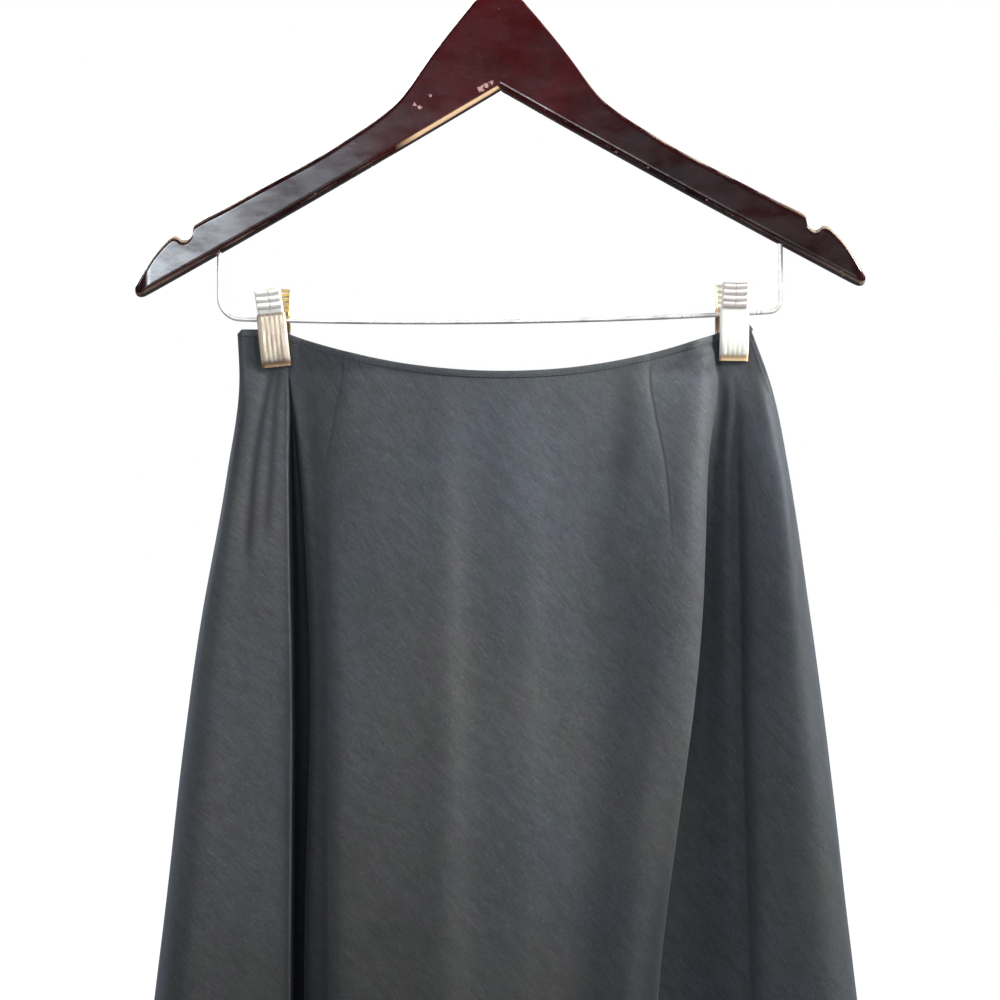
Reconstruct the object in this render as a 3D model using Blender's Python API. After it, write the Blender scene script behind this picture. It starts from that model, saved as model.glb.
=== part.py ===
"""An a-line maxi skirt, hung by its waist from the two clips of a wooden hanger.

Metres, +Z up, +X to the viewer's right, -Y towards the viewer.  The origin is the point
inside the top of the hook where a rail would carry the hanger.
"""
import math

import bmesh
import bpy
from mathutils import Matrix, Vector

MM = 0.001
SEAM_GAP = 0.3 * MM

# ---------------------------------------------------------------- skirt sizes
CLOTH = 1.2 * MM                    # thickness of the cloth wall
SKIRT_Y = -10.0 * MM                # plane of the bar, clips and side seams
WAIST_Z = -272.0 * MM               # waist corners
GRIP_Z = -298.5 * MM                # just under the clips' jaws
HIP_Z = -448.0 * MM
HEM_Z = -1235.0 * MM
WAIST_SAG = 27.0 * MM               # dip of the waist between the clips
WAIST_MIDDLE_X = 3.0 * MM
WAIST_HALF_SPAN = 136.0 * MM
RIGHT_CORNER_RISE = 1.065           # half spans over which the waist climbs on the right
HEM_SIDE_RISE = 20.0 * MM           # the hem climbs towards the side seams
HEM_HALF_WIDTH = 270.0 * MM
GRIP_ROWS = 3                       # rows of the cloth grids from the waist to the grip
ROWS = 22                           # and down to the hem, closer near the grip
ROW_CROWDING = 1.45
COLUMN_SPACING = 23.0 * MM          # spacing of the grids' columns along the hem
HIP_COLUMN_SPACING = 13.0 * MM      # and at the hip, where the folds are close
EDGE_HEIGHT = 4.2 * MM              # bound waist edge
EDGE_THICKNESS = 2.0 * MM
EDGE_MOVED_OUT = 0.2 * MM
BACK_SAG_EXTRA = 1.5 * MM           # the back waist hangs a little lower

# Heights at which the fold lines below are placed.
LEVEL_Z = (-272.0, -305.0, -357.0, -448.0, -647.0, -1235.0)

# Fold lines of the front, side seam to side seam, in millimetres.  Each line runs from
# waist to hem: x at waist, grip, yoke, hip, knee and hem, then its distance in front of
# the side seams at waist, hip and hem.
FRONT_LINES = (
    # name               waist    grip    yoke     hip    knee     hem   w     h     hem
    ("left seam",       -156.7, -155.5, -162.2, -177.9, -202.7, -262.0, 0.0, 0.0, 0.0),
    ("left turn",       -155.6, -153.8, -159.8, -174.8, -198.0, -254.5, 1.6, 16.5, 38.0),
    ("left side",       -152.0, -150.6, -155.0, -167.0, -185.0, -234.0, 1.6, 32.4, 68.5),
    ("left flank",      -145.7, -140.5, -142.5, -146.0, -152.0, -180.0, 1.0, 36.2, 74.0),
    ("left ridge",      -135.6, -128.6, -125.2, -121.9, -120.8, -120.6, 1.0, 38.4, 76.5),
    ("left lip",        -134.0, -127.0, -123.6, -120.2, -119.0, -118.6, 1.0, 38.8, 76.8),
    ("under left lip",  -132.2, -126.4, -124.3, -121.2, -120.2, -120.0, 1.0, 35.0, 69.0),
    ("left fold floor", -130.0, -125.6, -123.6, -121.5, -121.5, -124.0, 1.0, 2.0, 4.0),
    ("left fold foot",  -128.6, -125.0, -118.2, -111.6, -112.6, -111.0, 1.0, 2.4, 5.0),
    ("under left wall", -127.4, -124.4, -115.2, -107.8, -109.0, -107.0, 1.0, 12.0, 22.0),
    ("left wall edge",  -126.0, -123.7, -117.0, -110.8, -113.2, -111.0, 1.0, 25.6, 48.0),
    ("left wall",       -123.5, -119.8, -112.0, -106.2, -106.8, -103.0, 1.8, 28.6, 56.0),
    ("left crease",     -120.1, -114.2, -105.0, -100.2, -98.4, -95.0, 2.2, 29.2, 60.5),
    ("past left crease", -117.4, -111.8, -102.4, -97.6, -95.6, -92.0, 3.4, 35.0, 71.0),
    ("front left",      -90.7, -90.4, -86.3, -76.8, -70.2, -66.0, 14.0, 38.8, 76.0),
    ("centre left",     -45.5, -45.4, -45.0, -43.8, -42.0, -44.0, 23.0, 40.8, 82.0),
    ("crest",           -28.4, -28.4, -28.4, -28.4, -28.2, -30.0, 25.2, 41.6, 84.0),
    ("past crest",      -17.5, -17.5, -17.5, -17.5, -16.5, -18.0, 25.9, 38.6, 80.0),
    ("second ridge",    13.0, 13.0, 15.0, 16.0, 14.0, 10.0, 25.9, 37.4, 78.0),
    ("past second ridge", 34.0, 34.0, 35.0, 35.0, 31.0, 24.0, 23.6, 33.4, 73.0),
    ("centre right",    62.0, 62.0, 63.0, 63.0, 52.0, 40.0, 20.0, 31.2, 68.0),
    ("front right",     101.4, 103.4, 102.4, 98.0, 76.0, 58.0, 13.0, 39.4, 80.0),
    ("before right lip", 121.0, 122.8, 117.4, 111.8, 86.0, 64.0, 10.4, 38.4, 81.0),
    ("right lip",       128.6, 130.5, 124.6, 120.0, 93.5, 70.0, 3.2, 32.6, 93.0),
    ("under right lip", 130.8, 131.8, 123.0, 117.6, 92.0, 68.5, 1.4, 23.0, 60.0),
    ("right fold foot", 132.6, 133.2, 123.2, 117.4, 94.5, 74.0, 1.0, 5.0, 14.0),
    ("right valley",    135.0, 135.6, 130.0, 126.0, 116.0, 104.0, 1.0, 2.6, 7.0),
    ("valley edge",     138.2, 140.0, 138.6, 138.0, 143.0, 153.0, 1.0, 9.0, 19.0),
    ("right fold line", 141.2, 143.6, 145.0, 146.6, 151.5, 173.0, 1.0, 9.6, 20.0),
    ("fold line top",   143.6, 147.4, 148.6, 149.8, 155.5, 182.0, 1.0, 17.4, 37.0),
    ("right ridge",     147.6, 157.4, 167.4, 174.6, 192.5, 234.0, 1.0, 29.0, 63.0),
    ("right side",      149.9, 161.0, 172.0, 182.8, 205.5, 261.0, 1.0, 22.0, 48.0),
    ("right turn",      152.4, 163.8, 174.4, 187.2, 211.2, 277.0, 1.4, 10.5, 25.0),
    ("right seam",      153.3, 165.2, 176.0, 188.7, 213.6, 284.0, 0.0, 0.0, 0.0),
)

# Fold lines of the back, split at the centre seam; distances are behind the side seams.
BACK_LEFT_LINES = (
    ("left seam",       -156.7, -155.5, -162.2, -177.9, -202.7, -262.0, 0.0, 0.0, 0.0),
    ("left turn",       -155.6, -153.8, -159.6, -174.5, -198.0, -254.0, 1.6, 13.0, 32.0),
    ("left side",       -151.0, -149.3, -153.2, -163.0, -181.0, -228.0, 1.6, 27.0, 60.0),
    ("left back ridge", -141.0, -140.0, -142.0, -146.0, -155.0, -185.0, 1.0, 36.0, 79.0),
    ("left back lip",   -134.0, -131.0, -128.0, -126.0, -126.0, -134.0, 1.0, 33.0, 72.0),
    ("left back floor", -126.0, -124.5, -119.0, -113.0, -108.0, -102.0, 1.0, 12.0, 19.0),
    ("left back wall",  -119.0, -116.5, -107.0, -99.0, -92.0, -78.0, 2.5, 35.0, 74.0),
    ("back left",       -78.0, -78.0, -76.0, -70.0, -58.0, -42.0, 16.0, 40.0, 82.0),
    ("centre seam",     -0.15, -0.15, -0.15, -0.15, -0.15, -0.15, 25.0, 40.0, 81.0),
)
BACK_RIGHT_LINES = (
    ("centre seam",     0.15, 0.15, 0.15, 0.15, 0.15, 0.15, 25.0, 40.0, 81.0),
    ("back right",      70.0, 70.0, 68.0, 62.0, 52.0, 40.0, 18.0, 39.0, 78.0),
    ("right back wall", 120.0, 119.0, 110.0, 101.0, 92.0, 78.0, 4.0, 35.0, 74.0),
    ("right back floor", 130.0, 129.0, 123.0, 118.0, 113.0, 107.0, 1.0, 15.0, 26.0),
    ("right back lip",  136.0, 136.0, 135.0, 134.0, 136.0, 144.0, 1.0, 30.0, 68.0),
    ("right back ridge", 142.0, 147.0, 150.0, 154.0, 166.0, 200.0, 1.0, 33.0, 72.0),
    ("right side",      149.8, 160.0, 169.0, 178.5, 195.0, 248.0, 1.0, 22.0, 50.0),
    ("right turn",      152.4, 163.8, 174.4, 187.0, 210.8, 277.0, 1.4, 10.0, 24.0),
    ("right seam",      153.3, 165.2, 176.0, 188.7, 213.6, 284.0, 0.0, 0.0, 0.0),
)

# ---------------------------------------------------------------- zip sizes
ZIP_LENGTH = 200.0 * MM
ZIP_TAPE_WIDTH = 22.0 * MM
ZIP_TAPE_THICKNESS = 1.2 * MM
SLIDER_BELOW_EDGE = 7.0 * MM
SLIDER_SIZE = (5.4 * MM, 9.0 * MM, 2.0 * MM)         # width, length, thickness
SLIDER_CORNER = 1.3 * MM
BRIDGE_WIDTH = 1.6 * MM                               # the bridge that holds the pull
BRIDGE_RADIUS = 2.3 * MM
EYE_RADIUS = 1.15 * MM                                # hole through the bridge
PULL_PIN_HEIGHT = 1.5 * MM                            # pull's axis above the slider
PULL_THICKNESS = 1.0 * MM
PULL_WINDOW = (3.0 * MM, 3.1 * MM)                    # width and height of its ring's hole
PULL_WINDOW_Z = -2.1 * MM
# Outline of the pull from its axis down, in millimetres.
PULL_OUTLINE = (
    (-2.4, 0.55), (2.4, 0.55), (2.6, -4.0), (3.1, -14.0), (2.9, -18.5), (1.7, -21.3),
    (0.0, -22.0), (-1.7, -21.3), (-2.9, -18.5), (-3.1, -14.0), (-2.6, -4.0),
)
PULL_FOOT = 22.0 * MM                                 # its lowest point, from the axis

# ---------------------------------------------------------------- hanger sizes
HANGER_TILT = math.radians(0.9)     # the right arm hangs a little higher
WOOD_THICKNESS = 12.0 * MM
WOOD_EDGE_RADIUS = 3.2 * MM
ARM_SPAN = 220.5 * MM               # centre to tip
RIGHT_ARM_SHARE = 0.983             # the right half is cut a little shorter
ARM_SWEEP = 18.0 * MM               # the tips come forward
ARM_SLOPE = math.radians(30.0)
TIP_ROUND = 5.0 * MM                # rounding of the lower edge into the tip
TIP_THINNING = 9.0 * MM             # length over which the wood thins to the tip
ARCH_Z = -124.6 * MM                # top of the arch under the neck
NECK_TOP_Z = -68.0 * MM
# Upper edge of an arm, with the notch for a strap near its tip: distance from the middle
# and height, in millimetres.
ARM_TOP = (
    (0.0, -68.0), (9.0, -68.4), (14.0, -70.5), (18.5, -75.5), (29.0, -88.0),
    (40.0, -102.0), (48.0, -113.0), (55.0, -123.0), (62.0, -131.5), (70.0, -138.5),
    (80.0, -145.8), (92.0, -153.6), (106.0, -162.6), (120.0, -170.6), (136.0, -179.4),
    (152.0, -188.2), (168.0, -197.2), (185.0, -206.2), (185.8, -210.8), (187.6, -214.2),
    (190.2, -215.8), (193.0, -215.6), (195.4, -213.8), (197.0, -213.0), (202.0, -217.2),
    (207.0, -223.0), (211.6, -229.8), (215.4, -235.4), (218.4, -240.0), (220.5, -243.6),
)

HOOK_WIRE = 1.8 * MM                # radius
HOOK_RADIUS = 21.0 * MM             # centreline of the round part
HOOK_TIP = 205.0                    # angle at which the round part ends
HOOK_TURN = 62.0                    # angle below level at which it turns back to the stem
COLLAR_RADIUS = 5.0 * MM
COLLAR_HEIGHT = 4.0 * MM

BAR_WIRE = 1.4 * MM                 # radius
BAR_LEFT = (-168.0 * MM, -265.3 * MM)
BAR_RIGHT = (171.5 * MM, -260.9 * MM)
BAR_BENDS = (13.0 * MM, 7.5 * MM)
BAR_SAG = 4.1 * MM
BAR_IN_WOOD = 9.0 * MM
BAR_HOLE_LENGTH = 40.0 * MM         # long enough to pass out of the wood below

LEVER_WIDTH = 14.6 * MM
JAW_WIDTH = 16.2 * MM
PLATE = 1.0 * MM
PLATE_COLUMNS = 4
SPRING_RADIUS = 3.2 * MM
SPRING_LENGTH = 9.0 * MM
# Side profile of a clip's plate: distance from the bar and height above it.
PLATE_PROFILE = (
    (8.8, 17.2), (7.9, 15.0), (7.4, 12.4), (6.6, 9.8), (6.1, 7.2), (5.1, 4.6),
    (4.1, 2.2), (4.0, -1.8), (4.6, -6.0), (5.0, -12.0), (4.8, -18.5), (4.0, -23.5),
    (2.6, -26.8), (2.45, -28.6),
)
LEVER_ROWS = 6                      # rows of the profile that belong to the lever
# Each clip along the bar: its spring, then the place and lean of its front and back plate.
LEFT_CLIP = (-135.4 * MM, (-136.0 * MM, math.radians(6.1)), (-133.3 * MM, math.radians(-2.0)))
RIGHT_CLIP = (142.0 * MM, (143.2 * MM, math.radians(-0.8)), (140.4 * MM, math.radians(0.0)))



# ================================================================ shared makers
def clear_scene():
    for thing in list(bpy.data.objects):
        bpy.data.objects.remove(thing, do_unlink=True)


def finish(name, colour, roughness, metallic=0.0):
    """A plain Principled material."""
    made = bpy.data.materials.new(name)
    made.use_nodes = True
    shader = made.node_tree.nodes["Principled BSDF"]
    shader.inputs["Base Color"].default_value = (*colour, 1.0)
    shader.inputs["Roughness"].default_value = roughness
    shader.inputs["Metallic"].default_value = metallic
    return made


def add_piece(name, shape, look, parent=None):
    """Turn a bmesh into a named object with one material."""
    bmesh.ops.recalc_face_normals(shape, faces=shape.faces[:])
    mesh = bpy.data.meshes.new(name)
    shape.to_mesh(mesh)
    shape.free()
    mesh.shade_smooth()
    mesh.set_sharp_from_angle(angle=math.radians(40.0))
    mesh.materials.append(look)
    made = bpy.data.objects.new(name, mesh)
    bpy.context.collection.objects.link(made)
    made.parent = parent
    return made


def add_wire(name, route, radius, look, parent=None):
    """A round wire with closed ends along a list of points."""
    curve = bpy.data.curves.new(name, "CURVE")
    curve.dimensions = "3D"
    curve.bevel_depth = radius
    curve.bevel_resolution = 3
    curve.use_fill_caps = True
    line = curve.splines.new("POLY")
    line.points.add(len(route) - 1)
    for point, place in zip(line.points, route):
        point.co = (*place, 1.0)
    curve.materials.append(look)
    made = bpy.data.objects.new(name, curve)
    bpy.context.collection.objects.link(made)
    made.parent = parent
    return made


def add_cutter(name, shape, target, operation="DIFFERENCE", parent=None):
    """A hidden shape that is cut from, or joined to, its target."""
    mesh = bpy.data.meshes.new(name)
    bmesh.ops.recalc_face_normals(shape, faces=shape.faces[:])
    shape.to_mesh(mesh)
    shape.free()
    made = bpy.data.objects.new(name, mesh)
    bpy.context.collection.objects.link(made)
    made.parent = parent
    made.hide_render = True
    made.display_type = "WIRE"
    cut = target.modifiers.new(name, "BOOLEAN")
    cut.object = made
    cut.operation = operation
    return made


def slab(columns, rows, place):
    """A closed wall: a grid is extruded, and place(u, v, side) puts each of its points.

    u and v are whole column and row numbers; side is +1 on the outer face, -1 inside.
    """
    shape = bmesh.new()
    bmesh.ops.create_grid(shape, x_segments=columns, y_segments=rows, size=0.5)
    wall = bmesh.ops.extrude_face_region(shape, geom=shape.faces[:])
    outer = {item for item in wall["geom"] if isinstance(item, bmesh.types.BMVert)}
    for point in shape.verts:
        u = round((point.co.x + 0.5) * columns)
        v = round((0.5 - point.co.y) * rows)
        point.co = place(u, v, 1.0 if point in outer else -1.0)
    return shape


def loft(rings):
    """A closed body through rings of equal length: one face, extruded ring by ring."""
    shape = bmesh.new()
    start = shape.faces.new([shape.verts.new(place) for place in rings[0]])
    end = start
    for ring in rings[1:]:
        grown = bmesh.ops.extrude_face_region(shape, geom=[end])
        if end is not start:
            bmesh.ops.delete(shape, geom=[end], context="FACES_ONLY")
        end = next(item for item in grown["geom"] if isinstance(item, bmesh.types.BMFace))
        for corner, place in zip(end.verts, ring):
            corner.co = place
    return shape


def turned_ring(inner, outer, low, high, steps=16):
    """A ring turned about Z."""
    shape = bmesh.new()
    corners = [(inner, low), (outer, low), (outer, high), (inner, high)]
    points = [shape.verts.new((radius, 0.0, height)) for radius, height in corners]
    edges = [shape.edges.new((points[i - 1], points[i])) for i in range(4)]
    bmesh.ops.spin(shape, geom=points + edges, axis=(0.0, 0.0, 1.0), cent=(0.0, 0.0, 0.0),
                   angle=2 * math.pi, steps=steps, use_merge=True)
    return shape


def cylinder(radius, length, place=Matrix.Identity(4), sides=20):
    shape = bmesh.new()
    bmesh.ops.create_cone(shape, cap_ends=True, segments=sides, radius1=radius, radius2=radius,
                          depth=length, matrix=place)
    return shape


# ================================================================ skirt form
def clamp(value):
    return max(0.0, min(1.0, value))


def along_levels(values, z):
    """A smooth line through one value for each height in LEVEL_Z."""
    heights = [-level * MM for level in LEVEL_Z]
    here = min(max(-z, heights[0]), heights[-1])
    index = max(i for i in range(len(heights) - 1) if heights[i] <= here)
    steps = [heights[i + 1] - heights[i] for i in range(len(heights) - 1)]
    rises = [(values[i + 1] - values[i]) / steps[i] for i in range(len(steps))]

    def slope(i):
        if i == 0 or i == len(steps):
            return rises[min(i, len(steps) - 1)]
        return (steps[i - 1] * rises[i] + steps[i] * rises[i - 1]) / (steps[i - 1] + steps[i])

    part = (here - heights[index]) / steps[index]
    return (
        values[index] * (2 * part ** 3 - 3 * part ** 2 + 1)
        + slope(index) * steps[index] * (part ** 3 - 2 * part ** 2 + part)
        + values[index + 1] * (3 * part ** 2 - 2 * part ** 3)
        + slope(index + 1) * steps[index] * (part ** 3 - part ** 2)
    )


def distance_out(held, hip, hem, z):
    """How far a fold line stands out: held at the grip, easing out to the hip."""
    freed = clamp((GRIP_Z - z) / (GRIP_Z - HIP_Z))
    eased = held + (hip - held) * (1.0 - (1.0 - freed) ** 2)
    return eased + (hem - hip) * clamp((HIP_Z - z) / (HIP_Z - HEM_Z))


def line_point(line, z):
    """Where a fold line passes a height, as (x, distance out), in metres."""
    across = along_levels(line[1:7], z) * MM
    out = distance_out(*line[7:], z) * MM
    return Vector((across, max(out, SEAM_GAP / 2)))


def round_corner(before, here, there, after, part):
    """Centripetal Catmull-Rom curve between here and there."""
    t1 = (here - before).length ** 0.5
    t2 = t1 + (there - here).length ** 0.5
    t3 = t2 + (after - there).length ** 0.5
    t = t1 + (t2 - t1) * part
    a1 = before * ((t1 - t) / t1) + here * (t / t1)
    a2 = here * ((t2 - t) / (t2 - t1)) + there * ((t - t1) / (t2 - t1))
    a3 = there * ((t3 - t) / (t3 - t2)) + after * ((t - t2) / (t3 - t2))
    b1 = a1 * ((t2 - t) / t2) + a2 * (t / t2)
    b2 = a2 * ((t3 - t) / (t3 - t1)) + a3 * ((t - t1) / (t3 - t1))
    return b1 * ((t2 - t) / (t2 - t1)) + b2 * ((t - t1) / (t2 - t1))


def past_end(point, inside):
    """The point beyond an end: across the side seam, or across the centre seam."""
    if abs(point.x) < MM:
        return Vector((-inside.x, inside.y))
    return Vector((inside.x, -inside.y))


def section_point(lines, place, z):
    """A point of the cloth at a height; place counts the fold lines from the left."""
    index = min(int(place), len(lines) - 2)
    here = line_point(lines[index], z)
    there = line_point(lines[index + 1], z)
    before = line_point(lines[index - 1], z) if index > 0 else past_end(here, there)
    last = index + 2 >= len(lines)
    after = past_end(there, here) if last else line_point(lines[index + 2], z)
    return round_corner(before, here, there, after, place - index)


def column_places(lines):
    """Columns of a panel's grid: one on each fold line, and more where they lie apart."""
    places = []
    for index in range(len(lines) - 1):
        hip = (line_point(lines[index + 1], HIP_Z) - line_point(lines[index], HIP_Z)).length
        hem = (line_point(lines[index + 1], HEM_Z) - line_point(lines[index], HEM_Z)).length
        count = max(1, round(max(hip * COLUMN_SPACING / HIP_COLUMN_SPACING, hem) / COLUMN_SPACING))
        places += [index + step / count for step in range(count)]
    return places + [len(lines) - 1.0]


def waist_dip(x, sag):
    limit = RIGHT_CORNER_RISE if x > WAIST_MIDDLE_X else 1.0
    beside = min(abs(x - WAIST_MIDDLE_X) / WAIST_HALF_SPAN, limit)
    return -sag * (1.0 - beside ** 2)


def panel_points(lines, facing, sag):
    """The middle of a panel's wall, as rows of points from the waist to the hem."""
    top = WAIST_Z - EDGE_HEIGHT - SEAM_GAP
    places = column_places(lines)
    rows = []
    for number in range(ROWS + 1):
        level = top + (GRIP_Z - top) * number / GRIP_ROWS
        down = 0.0
        if number > GRIP_ROWS:
            down = ((number - GRIP_ROWS) / (ROWS - GRIP_ROWS)) ** ROW_CROWDING
            level = GRIP_Z + (HEM_Z - GRIP_Z) * down
        loose = clamp((level - HIP_Z) / (top - HIP_Z)) ** 1.5
        row = []
        for place in places:
            x = section_point(lines, place, level).x
            rise = HEM_SIDE_RISE * (x / HEM_HALF_WIDTH) ** 2 * down ** 2
            z = level + waist_dip(x, sag) * loose + rise
            flat = section_point(lines, place, z)
            row.append(Vector((flat.x, SKIRT_Y + facing * flat.y, z)))
        rows.append(row)
    return rows


def outward(rows, v, u, facing):
    """The direction out of the cloth; at a seam it lies along the seam's own face."""
    left = rows[v][max(u - 1, 0)]
    right = rows[v][min(u + 1, len(rows[v]) - 1)]
    above = rows[max(v - 1, 0)][u]
    below = rows[min(v + 1, len(rows) - 1)][u]
    normal = (right - left).cross(above - below).normalized()
    here = rows[v][u]
    if u in (0, len(rows[v]) - 1):
        if abs(here.x) < MM:
            normal.x = 0.0
        else:
            normal = Vector((math.copysign(1.0, here.x), 0.0, 0.0)) * -facing
    return normal.normalized() * -facing


def make_panel(name, rows, facing, look):
    """A cloth wall about the given points."""
    def place(u, v, side):
        return rows[v][u] + outward(rows, v, u, facing) * side * CLOTH / 2

    return add_piece(name, slab(len(rows[0]) - 1, len(rows) - 1, place), look)


def make_waist_edge(name, rows, facing, look, first, last):
    """The bound edge: the panel's top row of points, moved out and up."""
    steps = 2

    def place(u, v, side):
        column = u + first
        away = outward(rows, 0, column, facing)
        away.z = 0.0
        away.normalize()
        moved = EDGE_MOVED_OUT + side * EDGE_THICKNESS / 2
        lift = SEAM_GAP + EDGE_HEIGHT * (steps - v) / steps
        return rows[0][column] + away * moved + Vector((0.0, 0.0, lift))

    return add_piece(name, slab(last - first, steps, place), look)


def make_skirt():
    cloth = finish("charcoal cloth", (0.071, 0.076, 0.08), 0.85)
    edging = finish("charcoal edging", (0.062, 0.067, 0.071), 0.8)
    front = panel_points(FRONT_LINES, -1, WAIST_SAG)
    back_left = panel_points(BACK_LEFT_LINES, 1, WAIST_SAG + BACK_SAG_EXTRA)
    back_right = panel_points(BACK_RIGHT_LINES, 1, WAIST_SAG + BACK_SAG_EXTRA)
    make_panel("front_panel", front, -1, cloth)
    make_panel("back_panel_left", back_left, 1, cloth)
    make_panel("back_panel_right", back_right, 1, cloth)
    wide = len(front[0]) - 1
    make_waist_edge("waist_edge_front", front, -1, edging, 1, wide - 1)
    make_waist_edge("waist_edge_back_left", back_left, 1, edging, 1, len(back_left[0]) - 1)
    make_waist_edge("waist_edge_back_right", back_right, 1, edging, 0, len(back_right[0]) - 2)


# ================================================================ zip
def back_surface(x, z):
    """The middle of the back's wall near its centre seam."""
    lines = BACK_LEFT_LINES if x < 0 else BACK_RIGHT_LINES
    low, high = (len(lines) - 2.0, len(lines) - 1.0) if x < 0 else (0.0, 1.0)
    for _ in range(24):
        middle = (low + high) / 2
        if section_point(lines, middle, z).x < x:
            low = middle
        else:
            high = middle
    return SKIRT_Y + section_point(lines, low, z).y


def make_zip():
    tape_look = finish("zip tape", (0.035, 0.037, 0.04), 0.75)
    metal = finish("zip metal", (0.055, 0.057, 0.062), 0.38, 0.85)
    top = WAIST_Z - EDGE_HEIGHT - SEAM_GAP + waist_dip(0.0, WAIST_SAG + BACK_SAG_EXTRA)
    inward = CLOTH / 2 + SEAM_GAP + ZIP_TAPE_THICKNESS / 2
    columns = 4
    rows = 10

    def tape_place(u, v, side):
        x = ZIP_TAPE_WIDTH * (u / columns - 0.5)
        z = top - ZIP_LENGTH * v / rows
        slope = (back_surface(x, z - MM) - back_surface(x, z + MM)) / (2 * MM)
        away = Vector((0.0, 1.0, slope)).normalized()
        middle = Vector((x, back_surface(x, z), z)) - away * inward
        return middle + away * side * ZIP_TAPE_THICKNESS / 2

    add_piece("zip_tape", slab(columns, rows, tape_place), tape_look)

    # The slider and its pull are built about the pull's axis and leaned with the cloth.
    width, length, thick = SLIDER_SIZE
    z_slider = top - SLIDER_BELOW_EDGE
    fall = (back_surface(0.0, z_slider - length) - back_surface(0.0, z_slider + MM)) / (length + MM)
    lean = math.atan(fall)
    seat = Vector((0.0, back_surface(0.0, z_slider), z_slider))
    away = Vector((0.0, math.cos(lean), math.sin(lean)))
    axis = seat + away * (CLOTH / 2 + SEAM_GAP + thick + PULL_PIN_HEIGHT)
    carrier = bpy.data.objects.new("zip_axis", None)
    bpy.context.collection.objects.link(carrier)
    carrier.location = axis
    carrier.rotation_euler = (lean, 0.0, 0.0)

    body = bmesh.new()
    size = Matrix.Diagonal((width, thick, length, 1.0))
    middle = Matrix.Translation((0.0, -PULL_PIN_HEIGHT - thick / 2, 0.0))
    bmesh.ops.create_cube(body, size=1.0, matrix=middle @ size)
    upright = [edge for edge in body.edges if abs((edge.verts[0].co - edge.verts[1].co).y) > MM]
    bmesh.ops.bevel(body, geom=upright, offset=SLIDER_CORNER, segments=3, profile=0.5,
                    affect="EDGES", material=-1)
    slider = add_piece("zip_slider", body, metal, carrier)
    along_x = Matrix.Rotation(math.radians(90.0), 4, "Y")
    bridge = cylinder(BRIDGE_RADIUS, BRIDGE_WIDTH, along_x)
    add_cutter("slider_bridge", bridge, slider, "UNION", carrier)
    eye = cylinder(EYE_RADIUS, 2 * width, along_x)
    add_cutter("slider_eye", eye, slider, "DIFFERENCE", carrier)

    # The pull's ring passes through the bridge; its foot rests on the cloth.
    rest = -math.asin((thick + PULL_PIN_HEIGHT - PULL_THICKNESS / 2) / PULL_FOOT)
    rings = [[Vector((x * MM, y, z * MM)) for x, z in PULL_OUTLINE]
             for y in (-PULL_THICKNESS / 2, PULL_THICKNESS / 2)]
    pull = add_piece("zip_pull", loft(rings), metal, carrier)
    pull.rotation_euler = (rest, 0.0, 0.0)
    window = bmesh.new()
    size = Matrix.Diagonal((PULL_WINDOW[0], 6 * PULL_THICKNESS, PULL_WINDOW[1], 1.0))
    middle = Matrix.Translation((0.0, 0.0, PULL_WINDOW_Z))
    bmesh.ops.create_cube(window, size=1.0, matrix=middle @ size)
    opening = add_cutter("pull_window", window, pull, "DIFFERENCE", carrier)
    opening.rotation_euler = (rest, 0.0, 0.0)


# ================================================================ hanger
def arm_bottom(x):
    """Lower edge of an arm: straight, then round up into the tip."""
    straight = ARCH_Z - math.tan(ARM_SLOPE) * x
    into_tip = clamp((x - (ARM_SPAN - TIP_ROUND)) / TIP_ROUND)
    return straight + TIP_ROUND * (1.0 - math.sqrt(1.0 - 0.96 * into_tip ** 2))


def arm_ring(x, top, bottom, side):
    """A rounded rectangle across an arm."""
    near_tip = clamp((x - (ARM_SPAN - TIP_THINNING)) / TIP_THINNING)
    half_depth = WOOD_THICKNESS / 2 * math.sqrt(1.0 - 0.8 * near_tip ** 2)
    radius = min(WOOD_EDGE_RADIUS, (top - bottom) * 0.48, half_depth * 0.9)
    middle = -ARM_SWEEP * (x / ARM_SPAN) ** 2
    ring = []
    corners = ((1, 1, 0), (-1, 1, 90), (-1, -1, 180), (1, -1, 270))
    for across, up, turn in corners:
        centre_y = middle + across * (half_depth - radius)
        centre_z = (top - radius) if up > 0 else (bottom + radius)
        for step in range(3):
            angle = math.radians(turn + 45.0 * step)
            ring.append(Vector((side * x, centre_y + radius * math.cos(angle),
                                centre_z + radius * math.sin(angle))))
    return ring


def make_arm(name, side, share, look, parent, bar_end):
    rings = []
    for x, top in ARM_TOP:
        place = max(x * MM, SEAM_GAP / 2 / share)
        rings.append(arm_ring(place, top * MM, arm_bottom(place), side * share))
    arm = add_piece(name, loft(rings), look, parent)
    hole_z = bar_end[1] + SEAM_GAP - BAR_HOLE_LENGTH / 2
    hole = cylinder(BAR_WIRE + SEAM_GAP, BAR_HOLE_LENGTH,
                    Matrix.Translation((bar_end[0], SKIRT_Y, hole_z)))
    add_cutter(name + "_hole", hole, arm)
    return arm


def arc(centre_x, centre_z, radius, start, end, steps, y=0.0):
    """Points on an arc in the plane of the hanger; angles in degrees."""
    points = []
    for number in range(steps + 1):
        angle = math.radians(start + (end - start) * number / steps)
        points.append(Vector((centre_x + radius * math.cos(angle), y,
                              centre_z + radius * math.sin(angle))))
    return points


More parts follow.
